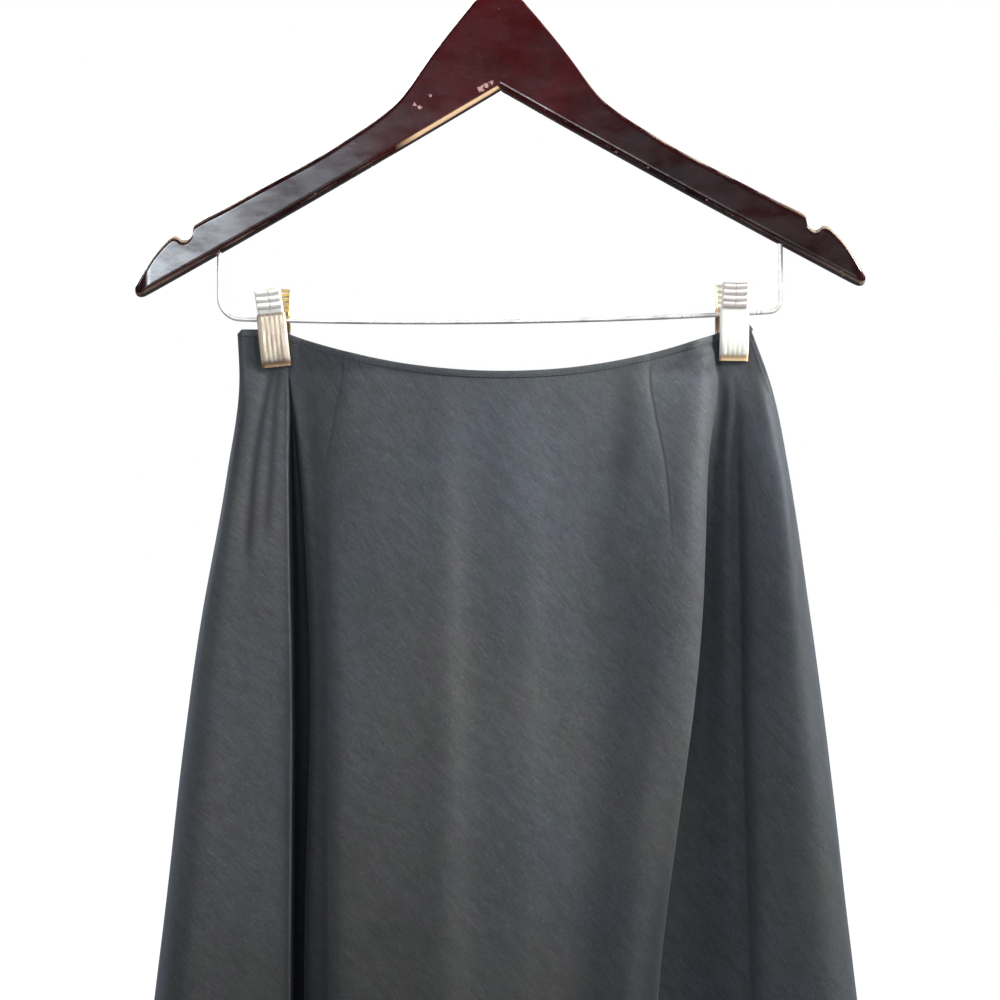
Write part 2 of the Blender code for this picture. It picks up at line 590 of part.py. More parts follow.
def hook_route():
    """From the hook's tip over the top, back under itself and down the stem."""
    middle_z = HOOK_WIRE - HOOK_RADIUS
    turn = HOOK_TURN
    fall = math.cos(math.radians(turn))
    back_radius = HOOK_RADIUS * fall / (1.0 - fall)
    over = arc(0.0, middle_z, HOOK_RADIUS, HOOK_TIP, -turn, 22)
    low = over[-1]
    back = arc(back_radius, low.z - back_radius * math.sin(math.radians(turn)),
               back_radius, 180.0 - turn, 180.0, 6)
    stem_foot = Vector((0.0, 0.0, NECK_TOP_Z + SEAM_GAP))
    return over + back[1:] + [stem_foot]


def bar_height(x):
    """Height of the straight part of the bar, which sags a little."""
    (left_x, left_z), (right_x, right_z) = BAR_LEFT, BAR_RIGHT
    part = (x - left_x) / (right_x - left_x)
    return left_z + (right_z - left_z) * part - BAR_SAG * 4.0 * part * (1.0 - part)


def bar_ends():
    """Where the bar's upright ends stop inside the wood."""
    ends = []
    for x, _ in (BAR_LEFT, BAR_RIGHT):
        under = arm_bottom(abs(x))
        tilted = x * math.sin(HANGER_TILT) + under * math.cos(HANGER_TILT)
        ends.append((x, tilted + BAR_IN_WOOD))
    return ends


def bar_slope(x):
    """How the bar climbs along its length at a place, as an angle."""
    return math.atan((bar_height(x + MM) - bar_height(x - MM)) / (2 * MM))


def bar_bend(corner_x, radius, side):
    """The rounded corner at one end of the bar; side is -1 at the left, +1 at the right."""
    foot = corner_x - side * radius
    slope = math.degrees(bar_slope(foot))
    middle_z = bar_height(foot) + radius * math.cos(math.radians(slope))
    if side < 0:
        return arc(foot, middle_z, radius, 180.0, 270.0 + slope, 6, SKIRT_Y)
    return arc(foot, middle_z, radius, 270.0 + slope, 360.0, 6, SKIRT_Y)


def make_bar(look):
    left_x, right_x = BAR_LEFT[0], BAR_RIGHT[0]
    left_end, right_end = bar_ends()
    route = [Vector((left_end[0], SKIRT_Y, left_end[1]))]
    route += bar_bend(left_x, BAR_BENDS[0], -1)
    start = left_x + BAR_BENDS[0]
    stretch = right_x - BAR_BENDS[1] - start
    for number in range(1, 12):
        x = start + stretch * number / 12
        route.append(Vector((x, SKIRT_Y, bar_height(x))))
    route += bar_bend(right_x, BAR_BENDS[1], 1)
    route.append(Vector((right_end[0], SKIRT_Y, right_end[1])))
    add_wire("wire_bar", route, BAR_WIRE, look)


def make_plate(name, facing, x, lean, look):
    """A bent plate of a clip, set on the bar; facing is -1 in front, +1 behind."""
    rows = len(PLATE_PROFILE) - 1

    def place_point(u, v, side):
        out, up = PLATE_PROFILE[v]
        out_before, up_before = PLATE_PROFILE[max(v - 1, 0)]
        out_after, up_after = PLATE_PROFILE[min(v + 1, rows)]
        heading = Vector((out_after - out_before, up_after - up_before)).normalized()
        width = LEVER_WIDTH if v < LEVER_ROWS else JAW_WIDTH
        away = Vector((-heading.y, heading.x)) * side * PLATE / 2
        across = width * (u / PLATE_COLUMNS - 0.5)
        return Vector((across, facing * (out * MM + away.x), up * MM + away.y))

    plate = add_piece(name, slab(PLATE_COLUMNS, rows, place_point), look)
    plate.location = (x, SKIRT_Y, bar_height(x))
    plate.rotation_euler = (0.0, -lean, 0.0)


def make_clip(name, place, look, steel):
    """Two bent plates and the spring between them, threaded on the bar."""
    spring_x, front, back = place
    make_plate(name + "_front", -1, *front, look)
    make_plate(name + "_back", 1, *back, look)
    sleeve = turned_ring(BAR_WIRE + SEAM_GAP, SPRING_RADIUS, -SPRING_LENGTH / 2, SPRING_LENGTH / 2)
    bmesh.ops.rotate(sleeve, verts=sleeve.verts[:], cent=(0.0, 0.0, 0.0),
                     matrix=Matrix.Rotation(math.radians(90.0), 3, "Y"))
    spring = add_piece(name + "_spring", sleeve, steel)
    spring.location = (spring_x, SKIRT_Y, bar_height(spring_x))
    spring.rotation_euler = (0.0, -bar_slope(spring_x), 0.0)


def make_hanger():
    wood = finish("cherry lacquer", (0.10, 0.018, 0.02), 0.22)
    brass = finish("bright brass", (0.80, 0.66, 0.42), 0.25, 1.0)
    steel = finish("plated steel", (0.72, 0.68, 0.62), 0.2, 1.0)
    tilt = bpy.data.objects.new("hanger_tilt", None)
    bpy.context.collection.objects.link(tilt)
    tilt.rotation_euler = (0.0, -HANGER_TILT, 0.0)
    left_end, right_end = bar_ends()
    make_arm("hanger_arm_left", -1, 1.0, wood, tilt, left_end)
    make_arm("hanger_arm_right", 1, RIGHT_ARM_SHARE, wood, tilt, right_end)
    add_wire("hook", hook_route(), HOOK_WIRE, steel, tilt)
    collar = turned_ring(HOOK_WIRE + SEAM_GAP, COLLAR_RADIUS, NECK_TOP_Z + SEAM_GAP,
                         NECK_TOP_Z + SEAM_GAP + COLLAR_HEIGHT)
    add_piece("hook_collar", collar, steel, tilt)
    make_bar(steel)
    make_clip("clip_left", LEFT_CLIP, brass, steel)
    make_clip("clip_right", RIGHT_CLIP, brass, steel)


clear_scene()
make_skirt()
make_zip()
make_hanger()
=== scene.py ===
import math

import bmesh
import bpy
import numpy as np
from mathutils import Matrix, Vector, noise


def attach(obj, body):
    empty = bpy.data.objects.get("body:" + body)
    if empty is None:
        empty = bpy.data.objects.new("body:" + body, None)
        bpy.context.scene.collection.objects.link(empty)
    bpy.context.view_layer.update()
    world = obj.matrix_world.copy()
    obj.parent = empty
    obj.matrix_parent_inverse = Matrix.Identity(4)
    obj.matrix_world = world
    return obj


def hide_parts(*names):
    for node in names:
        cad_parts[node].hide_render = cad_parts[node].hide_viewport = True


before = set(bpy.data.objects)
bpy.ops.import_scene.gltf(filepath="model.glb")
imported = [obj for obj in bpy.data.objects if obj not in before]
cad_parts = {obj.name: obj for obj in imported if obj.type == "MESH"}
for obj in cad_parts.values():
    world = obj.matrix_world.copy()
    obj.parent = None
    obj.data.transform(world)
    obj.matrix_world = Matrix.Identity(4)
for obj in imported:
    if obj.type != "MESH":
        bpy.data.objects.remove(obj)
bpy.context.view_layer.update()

MM = 0.001

# ------------------------------------------------------------------ camera
# Stands a metre in front of the clips, level, and looks straight back at the hanger and
# the upper part of the skirt.
CAMERA_PLACE = (1.8 * MM, -1010.0 * MM, -375.1 * MM)
CAMERA_LENS = 59.5

scene = bpy.context.scene
camera = bpy.data.objects.new("camera", bpy.data.cameras.new("camera"))
camera.data.sensor_width = 36.0
camera.data.lens = CAMERA_LENS
camera.data.clip_start = 0.05
camera.location = CAMERA_PLACE
camera.rotation_euler = (math.radians(90.0), 0.0, 0.0)
scene.collection.objects.link(camera)
scene.camera = camera

# ------------------------------------------------------------------ hook and collar
# A round hook of bright plated wire, screwed into the neck through a turned collar.
HOOK_WIRE = 1.8 * MM                # radius
HOOK_RADIUS = 21.0 * MM             # of its round part, to the middle of the wire
HOOK_TIP = 205.0                    # angle at which the round part ends, in degrees
HOOK_TURN = 62.0                    # angle below level at which it turns back to the stem
ROUND_STEPS = 60
BEND_STEPS = 14
HANGER_TILT = math.radians(0.9)     # the right arm hangs a little higher
NECK_TOP_Z = -68.0 * MM
STEEL = (0.66, 0.62, 0.56)
# Section of the collar: radius and height above the neck, in millimetres.
COLLAR = ((1.95, 0.3), (5.0, 0.3), (5.0, 1.4), (4.4, 2.0), (4.4, 3.0), (3.4, 4.3), (1.95, 4.3))


class Finish:
    """A procedural material: its shader, and short calls that add and join its nodes."""

    def __init__(self, name, **sockets):
        self.material = bpy.data.materials.new(name)
        self.material.use_nodes = True
        self.tree = self.material.node_tree
        self.shader = self.tree.nodes["Principled BSDF"]
        for socket, value in sockets.items():
            target = self.shader.inputs[socket.replace("_", " ")]
            target.default_value = (*value, 1.0) if isinstance(value, tuple) else value

    def node(self, kind, inputs=None, **settings):
        made = self.tree.nodes.new(kind)
        for name, value in settings.items():
            setattr(made, name, value)
        for key, value in (inputs or {}).items():
            self.feed(made.inputs[key], value)
        return made

    def feed(self, socket, value):
        if isinstance(value, bpy.types.NodeSocket):
            self.tree.links.new(value, socket)
        elif isinstance(value, bpy.types.Node):
            self.tree.links.new(value.outputs[0], socket)
        elif isinstance(value, tuple) and len(value) == 3 and socket.type == "RGBA":
            socket.default_value = (*value, 1.0)
        else:
            socket.default_value = value

    def coordinates(self, source, stretch=(1.0, 1.0, 1.0), turn=(0.0, 0.0, 0.0)):
        """Object coordinates, or the piece's own UV map, turned and stretched."""
        if source == "Object":
            vector = self.node("ShaderNodeTexCoord").outputs["Object"]
        else:
            vector = self.node("ShaderNodeUVMap", uv_map=source).outputs["UV"]
        turned = self.node("ShaderNodeMapping", {"Vector": vector, "Rotation": turn})
        return self.node("ShaderNodeMapping", {"Vector": turned, "Scale": stretch})

    def axes(self, vector):
        """A vector's three parts, by the names X, Y and Z."""
        return self.node("ShaderNodeSeparateXYZ", {0: vector}).outputs

    def painted(self, layer):
        """A value that the mesh holds at each of its points."""
        return self.node("ShaderNodeAttribute", attribute_name=layer).outputs["Fac"]

    def noise(self, vector, scale, detail=2.0, rough=0.5, warp=0.0):
        return self.node("ShaderNodeTexNoise", {
            "Vector": vector, "Scale": scale, "Detail": detail, "Roughness": rough,
            "Distortion": warp}).outputs["Fac"]

    def between(self, value, low, high, to_low=0.0, to_high=1.0):
        """Value read from one span onto another, held at its ends."""
        return self.node("ShaderNodeMapRange", {
            "Value": value, "From Min": low, "From Max": high, "To Min": to_low,
            "To Max": to_high}).outputs["Result"]

    def math(self, operation, first, second=0.0):
        return self.node("ShaderNodeMath", {0: first, 1: second}, operation=operation).outputs[0]

    def product(self, first, *others):
        for value in others:
            first = self.math("MULTIPLY", first, value)
        return first

    def blend(self, share, first, second, how="MIX"):
        made = self.node("ShaderNodeMix", data_type="RGBA", blend_type=how)
        self.feed(made.inputs["Factor"], share)
        self.feed(made.inputs["A"], first)
        self.feed(made.inputs["B"], second)
        return made.outputs["Result"]

    def colour(self, value):
        self.feed(self.shader.inputs["Base Color"], value)

    def rough(self, value):
        self.feed(self.shader.inputs["Roughness"], value)

    def bump(self, height, distance, strength=1.0):
        made = self.node("ShaderNodeBump", {
            "Height": height, "Distance": distance, "Strength": strength})
        self.feed(self.shader.inputs["Normal"], made.outputs["Normal"])


def piece(name, shape, look, slot, *nodes, body="skirt_on_hanger", sharp=38.0):
    """Make a finished piece of a bmesh; it rides on a body and stands for CAD nodes."""
    bmesh.ops.recalc_face_normals(shape, faces=shape.faces[:])
    mesh = bpy.data.meshes.new(name)
    shape.to_mesh(mesh)
    shape.free()
    mesh.shade_smooth()
    mesh.set_sharp_from_angle(angle=math.radians(sharp))
    mesh.materials.append(look)
    made = bpy.data.objects.new(name, mesh)
    scene.collection.objects.link(made)
    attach(made, body)
    if nodes:
        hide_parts(*nodes)
    return made


def next_ring(shape, corners, edges):
    """Extrude a ring of edges: its new corners, in the same order, and its new edges."""
    grown = bmesh.ops.extrude_edge_only(shape, edges=edges)["geom"]
    fresh = {tuple(item.co): item for item in grown if isinstance(item, bmesh.types.BMVert)}
    corners = [fresh[tuple(corner.co)] for corner in corners]
    ring = set(corners)
    edges = [item for item in grown if isinstance(item, bmesh.types.BMEdge)
             and item.verts[0] in ring and item.verts[1] in ring]
    return corners, edges


def swept_rod(route, radius, sides=16, cap_round=0.35):
    """A round rod: a circle of edges, extruded from point to point of its route."""
    shape = bmesh.new()
    count = len(route)
    headings = []
    for number in range(count):
        ahead = route[min(number + 1, count - 1)] - route[max(number - 1, 0)]
        headings.append(ahead.normalized())
    ring = bmesh.ops.create_circle(shape, segments=sides, radius=radius)["verts"]
    upright = headings[0].to_track_quat("Z", "Y").to_matrix()
    bmesh.ops.rotate(shape, verts=ring, cent=(0.0, 0.0, 0.0), matrix=upright)
    bmesh.ops.translate(shape, verts=ring, vec=route[0])
    edges = shape.edges[:]
    for number in range(1, count):
        ring, edges = next_ring(shape, ring, edges)
        bend = headings[number - 1].rotation_difference(headings[number]).to_matrix()
        bmesh.ops.translate(shape, verts=ring, vec=route[number] - route[number - 1])
        bmesh.ops.rotate(shape, verts=ring, cent=route[number], matrix=bend)
    caps = bmesh.ops.holes_fill(shape, edges=shape.edges[:], sides=0)["faces"]
    rims = list({edge for cap in caps for edge in cap.edges})
    if cap_round:
        bmesh.ops.bevel(shape, geom=rims, offset=radius * cap_round, segments=3, profile=0.5,
                        affect="EDGES", material=-1)
    return shape


def arc(centre, radius, start, end, steps):
    """Points on an arc in the plane of the hanger; angles in degrees."""
    angles = [math.radians(start + (end - start) * step / steps) for step in range(steps + 1)]
    return [centre + radius * Vector((math.cos(a), 0.0, math.sin(a))) for a in angles]


def tilted(shape):
    """Lean a shape as the hanger leans about its hook."""
    bmesh.ops.rotate(shape, verts=shape.verts[:], cent=(0.0, 0.0, 0.0),
                     matrix=Matrix.Rotation(-HANGER_TILT, 3, "Y"))
    return shape


def plated(name, colour, roughness, metallic=1.0):
    """Bright plating: fine drawn scratches, dulled in patches."""
    look = Finish(name, Metallic=metallic)
    scratches = look.noise(look.coordinates("Object", (900.0, 900.0, 120.0)), 1.0, 3.0)
    patches = look.noise(look.coordinates("Object"), 60.0, 3.0, 0.6)
    dull = look.between(patches, 0.45, 0.72)
    darker = tuple(0.62 * part for part in colour)
    look.colour(look.blend(dull, colour, darker))
    rough = look.math("ADD", look.between(scratches, 0.3, 0.7, 0.0, 0.10),
                      look.between(patches, 0.35, 0.75, roughness, roughness + 0.16))
    look.rough(rough)
    look.bump(scratches, 0.02 * MM, 0.5)
    return look


steel = plated("plated steel", STEEL, 0.14)
round_centre = Vector((0.0, 0.0, HOOK_WIRE - HOOK_RADIUS))
hook_route = arc(round_centre, HOOK_RADIUS, HOOK_TIP, -HOOK_TURN, ROUND_STEPS)
fall = math.cos(math.radians(HOOK_TURN))
turn_radius = HOOK_RADIUS * fall / (1.0 - fall)
turn_centre = Vector((turn_radius, 0.0,
                      hook_route[-1].z - turn_radius * math.sin(math.radians(HOOK_TURN))))
hook_route += arc(turn_centre, turn_radius, 180.0 - HOOK_TURN, 180.0, BEND_STEPS)[1:]
hook_route.append(Vector((0.0, 0.0, NECK_TOP_Z + 0.3 * MM)))
piece("wire_hook", tilted(swept_rod(hook_route, HOOK_WIRE, 20, 0.6)), steel.material,
      "hanger_steel", "hook")

shape = bmesh.new()
rim = [shape.verts.new((radius * MM, 0.0, NECK_TOP_Z + height * MM)) for radius, height in COLLAR]
loop = [shape.edges.new((rim[i - 1], rim[i])) for i in range(len(rim))]
bmesh.ops.spin(shape, geom=rim + loop, axis=(0.0, 0.0, 1.0), cent=(0.0, 0.0, 0.0),
               angle=2.0 * math.pi, steps=40, use_merge=True)
piece("turned_collar", tilted(shape), steel.material, "hanger_steel", "hook_collar", sharp=30.0)

# ------------------------------------------------------------------ wooden arms
# Two shaped arms of a hanger, glued at the middle, with rounded edges, an arch under the
# neck and a notch for a strap near each tip; dark cherry lacquer, chipped on its edges.
WOOD_THICKNESS = 12.0 * MM
WOOD_EDGE = 3.4 * MM                # radius of the rounded edges
ARM_SPAN = 220.5 * MM               # from the middle to a tip
RIGHT_SHARE = 0.983                 # the right arm is cut a little shorter
ARM_SWEEP = 18.0 * MM               # how far the tips come forward
ARM_SLOPE = math.radians(30.0)
ARCH_Z = -124.6 * MM
TIP_ROUND = 5.0 * MM
TIP_THINNING = 9.0 * MM
GLUE_LINE = 0.02 * MM
CORNER_STEPS = 6
CURVE_STEPS = 4
# The neck is painted lighter and redder than the arms: painted light, standing for what its lacquer
# reflects.
LIT_NECK_RED = ((0.030, 0.0022, 0.0026), (0.056, 0.0040, 0.0046))
ARM_RED = ((0.0080, 0.0012, 0.0013), (0.022, 0.0026, 0.0028))
# Where the tones change, in metres along the arm.
NECK_TO_ARM = (0.025, 0.085)
HIGHLIT_TIP = (0.165, 0.20)
GLINT_FROM = (-0.062, -0.048)
GLINT_TO = (0.028, 0.014)
WORN_AND_HIGHLIT = (0.46, 0.34, 0.25)
GLINT = (0.78, 0.50, 0.28)
CHIP_AND_HIGHLIGHT_PINK = (0.50, 0.27, 0.23)
# Chips on the neck, the last three a pale patch that is a painted highlight: x, height and size, in
# millimetres.
NECK_CHIPS = ((-50.0, -135.2, 1.1), (-46.7, -136.7, 1.2), (-40.7, -129.6, 0.7),
              (-9.8, -125.2, 1.8), (-6.4, -123.0, 2.0), (-3.2, -121.4, 1.3))
# Upper edge of an arm: distance from the middle and height, in millimetres.
ARM_TOP = (
    (0.0, -68.0), (9.0, -68.4), (14.0, -70.5), (18.5, -75.5), (29.0, -88.0),
    (40.0, -102.0), (48.0, -113.0), (55.0, -123.0), (62.0, -131.5), (70.0, -138.5),
    (80.0, -145.8), (92.0, -153.6), (106.0, -162.6), (120.0, -170.6), (136.0, -179.4),
    (152.0, -188.2), (168.0, -197.2), (182.0, -204.6), (185.4, -207.2), (186.0, -211.4),
    (187.8, -214.4), (190.4, -215.8), (193.0, -215.4), (195.4, -213.6), (198.0, -213.8),
    (203.0, -218.4), (208.0, -224.4), (212.4, -231.0), (216.0, -236.6), (218.8, -240.8),
    (220.5, -243.6),
)


def curve_through(points, steps):
    """More points on a smooth centripetal curve through the given ones."""
    ends = [2 * points[0] - points[1], *points, 2 * points[-1] - points[-2]]
    curve = []
    for before, here, there, after in zip(ends, ends[1:], ends[2:], ends[3:]):
        t1 = (here - before).length ** 0.5
        t2 = t1 + (there - here).length ** 0.5
        t3 = t2 + (after - there).length ** 0.5
        for step in range(steps):
            t = t1 + (t2 - t1) * step / steps
            a1 = before.lerp(here, t / t1)
            a2 = here.lerp(there, (t - t1) / (t2 - t1))
            a3 = there.lerp(after, (t - t2) / (t3 - t2))
            b1 = a1.lerp(a2, t / t2)
            b2 = a2.lerp(a3, (t - t1) / (t3 - t1))
            curve.append(b1.lerp(b2, (t - t1) / (t2 - t1)))
    return [*curve, points[-1]]


def arm_bottom(x):
    """Height of an arm's lower edge, at a distance from the middle."""
    straight = ARCH_Z - math.tan(ARM_SLOPE) * x
    into_tip = max(0.0, min(1.0, (x - (ARM_SPAN - TIP_ROUND)) / TIP_ROUND))
    return straight + TIP_ROUND * (1.0 - math.sqrt(1.0 - 0.96 * into_tip ** 2))


def arm_ring(x, top, side):
    """A rounded rectangle across an arm, and which points are on an edge, for wear and painted
    highlights.
    """
    bottom = arm_bottom(x)
    near_tip = max(0.0, min(1.0, (x - (ARM_SPAN - TIP_THINNING)) / TIP_THINNING))
    half_depth = WOOD_THICKNESS / 2 * math.sqrt(1.0 - 0.8 * near_tip ** 2)
    radius = min(WOOD_EDGE, (top - bottom) * 0.48, half_depth * 0.9)
    middle = -ARM_SWEEP * (x / ARM_SPAN) ** 2
    ring = []
    flat_y = 0.45 * (half_depth - radius)
    flat_z = min(MM, 0.45 * ((top - bottom) / 2 - radius))
    for across, up, turn in ((1, 1, 0), (-1, 1, 90), (-1, -1, 180), (1, -1, 270)):
        centre_y = middle + across * (half_depth - radius)
        centre_z = (top - radius) if up > 0 else (bottom + radius)
        for step in range(-1, CORNER_STEPS + 2):
            angle = math.radians(turn + 90.0 * max(0, min(CORNER_STEPS, step)) / CORNER_STEPS)
            beyond = (step > CORNER_STEPS) - (step < 0)
            place = (side * x,
                     centre_y + radius * math.cos(angle) - beyond * flat_y * math.sin(angle),
                     centre_z + radius * math.sin(angle) + beyond * flat_z * math.cos(angle))
            ring.append((Vector(place), max(0.0, 1.0 - abs(2.0 * step / CORNER_STEPS - 1.0))))
    return ring


def arm_shape(side):
    """A ring of edges, extruded along the arm and set to each station's section."""
    share = side * (RIGHT_SHARE if side > 0 else 1.0)
    outline = curve_through([Vector((x, z)) * MM for x, z in ARM_TOP], CURVE_STEPS)
    rings = [arm_ring(max(point.x, GLUE_LINE), point.y, share) for point in outline]
    shape = bmesh.new()
    # The rounded edges, which carry the lacquer's wear and its painted highlights.
    worn = shape.verts.layers.float.new("edge")
    corners = bmesh.ops.create_circle(shape, segments=len(rings[0]), radius=1.0)["verts"]
    edges = shape.edges[:]
    for number, ring in enumerate(rings):
        if number:
            corners, edges = next_ring(shape, corners, edges)
        for corner, (place, wear) in zip(corners, ring):
            corner.co = place
            corner[worn] = wear
    bmesh.ops.holes_fill(shape, edges=shape.edges[:], sides=0)
    return tilted(shape)


lacquer = Finish("cherry lacquer", Coat_Roughness=0.12, Specular_IOR_Level=0.06)
parts = lacquer.axes(lacquer.node("ShaderNodeTexCoord").outputs["Object"])
along = lacquer.math("ABSOLUTE", parts["X"])
grain = lacquer.noise(lacquer.coordinates("Object", (260.0, 40.0, 260.0)), 1.0, 4.0, 0.6, 0.4)
cloudy = lacquer.noise(lacquer.coordinates("Object"), 22.0, 4.0, 0.6)
figure = lacquer.math("ADD", lacquer.math("MULTIPLY", grain, 0.45),
                      lacquer.math("MULTIPLY", cloudy, 0.55))
figure = lacquer.between(figure, 0.38, 0.62)
neck = lacquer.blend(figure, *LIT_NECK_RED)
# Lighter toward the neck: painted light.
toned_and_lit = lacquer.blend(lacquer.between(along, *NECK_TO_ARM), neck,
                        lacquer.blend(figure, *ARM_RED))
edge = lacquer.painted("edge")
patchy = lacquer.noise(lacquer.coordinates("Object"), 60.0, 4.0, 0.65)
# Pale edges: lacquer worn thin, and painted highlights where the light catches the upper edges and
# the tips.
thin = lacquer.product(lacquer.between(edge, 0.55, 1.0), lacquer.between(patchy, 0.42, 0.62),
                       lacquer.between(along, 0.04, 0.15, 0.35, 0.85))
# Height above the slanting lower edge; the upper edges get more wear and the painted highlights.
above = lacquer.math("ADD", parts["Z"], lacquer.math("MULTIPLY", along, math.tan(ARM_SLOPE)))
upper = lacquer.between(above, ARCH_Z + 4.0 * MM, ARCH_Z + 8.0 * MM, 0.25, 1.0)
tips = lacquer.product(lacquer.between(along, *HIGHLIT_TIP, 0.0, 0.8),
                       lacquer.between(edge, 0.35, 0.8))
thin = lacquer.product(lacquer.math("MAXIMUM", thin, tips), upper)
worn_and_highlit = lacquer.blend(thin, toned_and_lit, WORN_AND_HIGHLIT)
# A painted glint along the lower edge under the neck.
under = lacquer.between(above, ARCH_Z + 1.5 * MM, ARCH_Z + 0.7 * MM)
golden = lacquer.product(under, lacquer.between(parts["X"], *GLINT_FROM),
                         lacquer.between(parts["X"], *GLINT_TO), lacquer.between(edge, 0.15, 0.6))
with_glint = lacquer.blend(golden, worn_and_highlit, GLINT)
chips = lacquer.noise(lacquer.coordinates("Object"), 210.0, 2.0, 0.7, 0.3)
chips_and_highlight = lacquer.product(lacquer.between(chips, 0.665, 0.69), lacquer.between(edge, 0.35, 0.8))
ragged = lacquer.noise(lacquer.coordinates("Object"), 700.0, 2.0, 0.6)
front = lacquer.between(parts["Y"], -3.0 * MM, -5.0 * MM)
# Chips, and a painted highlight patch, on the front of the neck.
for x, z, size in NECK_CHIPS:
    centred = lacquer.node("ShaderNodeVectorMath", {
        0: lacquer.node("ShaderNodeCombineXYZ", {"X": parts["X"], "Z": parts["Z"]}),
        1: (x * MM, 0.0, z * MM)}, operation="DISTANCE").outputs["Value"]
    ragged_distance = lacquer.math("ADD", centred, lacquer.between(ragged, 0.3, 0.7, -1.0 * MM, 1.0 * MM))
    spot = lacquer.product(lacquer.between(ragged_distance, size * MM, 0.6 * size * MM), front)
    chips_and_highlight = lacquer.math("MAXIMUM", chips_and_highlight, spot)
lacquer.colour(lacquer.blend(chips_and_highlight, with_glint, CHIP_AND_HIGHLIGHT_PINK))
smear = lacquer.noise(lacquer.coordinates("Object", (1.0, 1.0, 2.5)), 38.0, 4.0, 0.62)
lacquer.feed(lacquer.shader.inputs["Coat Weight"], lacquer.between(smear, 0.36, 0.62, 0.35, 1.0))
lacquer.rough(lacquer.between(smear, 0.35, 0.7, 0.16, 0.34))
lacquer.bump(lacquer.math("SUBTRACT", grain, lacquer.product(chips_and_highlight, 3.0)), 0.03 * MM)
for name, side in (("left", -1), ("right", 1)):
    piece(f"{name}_arm", arm_shape(side), lacquer.material, "hanger_wood",
          f"hanger_arm_{name}", sharp=60.0)

# ------------------------------------------------------------------ wire bar
# One length of plated wire, bent at its corners; its ends are driven into the arms.
BAR_WIRE = 1.4 * MM                 # radius
BAR_BENDS = (13.0 * MM, 7.5 * MM)   # radii of its left and right corner
BAR_Y = -10.0 * MM
BAR_LEFT = Vector((-168.0, 0.0, -265.3)) * MM
BAR_RIGHT = Vector((171.5, 0.0, -260.9)) * MM
BAR_SAG = 4.1 * MM
BAR_IN_WOOD = 9.0 * MM
BAR_STEPS = 32


def bar_height(x):
    """Height of the bar's middle line, which bows down between its corners."""
    part = (x - BAR_LEFT.x) / (BAR_RIGHT.x - BAR_LEFT.x)
    return BAR_LEFT.z + (BAR_RIGHT.z - BAR_LEFT.z) * part - BAR_SAG * 4.0 * part * (1.0 - part)


def bar_slope(x):
    """How the bar climbs along its length at a place, as an angle."""
    return math.atan((bar_height(x + MM) - bar_height(x - MM)) / (2 * MM))


def bar_corner(foot, radius, start, end):
    """The rounded corner at one end of the bar, from its foot or down to it."""
    middle = Vector((foot, 0.0, bar_height(foot) + radius * math.cos(bar_slope(foot))))
    return arc(middle, radius, start, end, BEND_STEPS)


def bar_end(x):
    """Where one end of the bar stops, inside its arm."""
    under = arm_bottom(abs(x))
    height = x * math.sin(HANGER_TILT) + under * math.cos(HANGER_TILT)
    return Vector((x, 0.0, height + BAR_IN_WOOD))


left_foot = BAR_LEFT.x + BAR_BENDS[0]
right_foot = BAR_RIGHT.x - BAR_BENDS[1]
left_turn = 270.0 + math.degrees(bar_slope(left_foot))
right_turn = 270.0 + math.degrees(bar_slope(right_foot))
straight = [left_foot + (right_foot - left_foot) * step / BAR_STEPS
            for step in range(1, BAR_STEPS)]
bar_route = [bar_end(BAR_LEFT.x), *bar_corner(left_foot, BAR_BENDS[0], 180.0, left_turn)]
bar_route += [Vector((x, 0.0, bar_height(x))) for x in straight]
bar_route += [*bar_corner(right_foot, BAR_BENDS[1], right_turn, 360.0), bar_end(BAR_RIGHT.x)]
shape = swept_rod(bar_route, BAR_WIRE, 16)
bmesh.ops.translate(shape, verts=shape.verts[:], vec=(0.0, BAR_Y, 0.0))
bright_wire = plated("bright wire", (0.95, 0.90, 0.82), 0.24, 0.45)
piece("bent_bar", shape, bright_wire.material, "hanger_steel", "wire_bar")

# ------------------------------------------------------------------ clips
# Each is two pressed plates of thin brass-plated steel, pinched together by a coiled
# spring on the bar: a lever ribbed across above, a fluted jaw with a turned-in lip below.
PLATE = 0.8 * MM
PLATE_COLUMNS = 40
PLATE_STEPS = 8
LEVER_WIDTH = 14.6 * MM
JAW_WIDTH = 16.2 * MM
SIDE_WRAP = 1.1 * MM                # how far the plate's sides turn in
RIB_DEPTH = 0.6 * MM
FLUTE_DEPTH = 0.28 * MM
FLUTES = 5
# Heights on a plate, in millimetres.
JAW_SPAN = (-26.0, 2.0)             # the jaw is fluted between these
FLUTE_END = 1.5                     # length over which a flute dies away
SHOULDER = (2.6, 0.6)               # foot and height of the step from the jaw to the lever
CREASE = (3.4, 0.7)                 # middle and half height of the bend that is worn tan
BEND = 4.6                          # the lever leaves the jaw here
LIP = (-24.0, 2.0)                  # top and height of the turned-in lip
RIB_BOW = 1.6                       # how far the ribs sink from the middle to the sides
RIB_VALLEY = 0.55                   # half height of the painted shade in the valleys between the ribs
# Distances from a plate's middle, as shares of its width.
FLUTED_TO = 0.44
FLUTE_VALLEY = 0.022
RIBBED_TO = 0.46
SPINE = 0.04
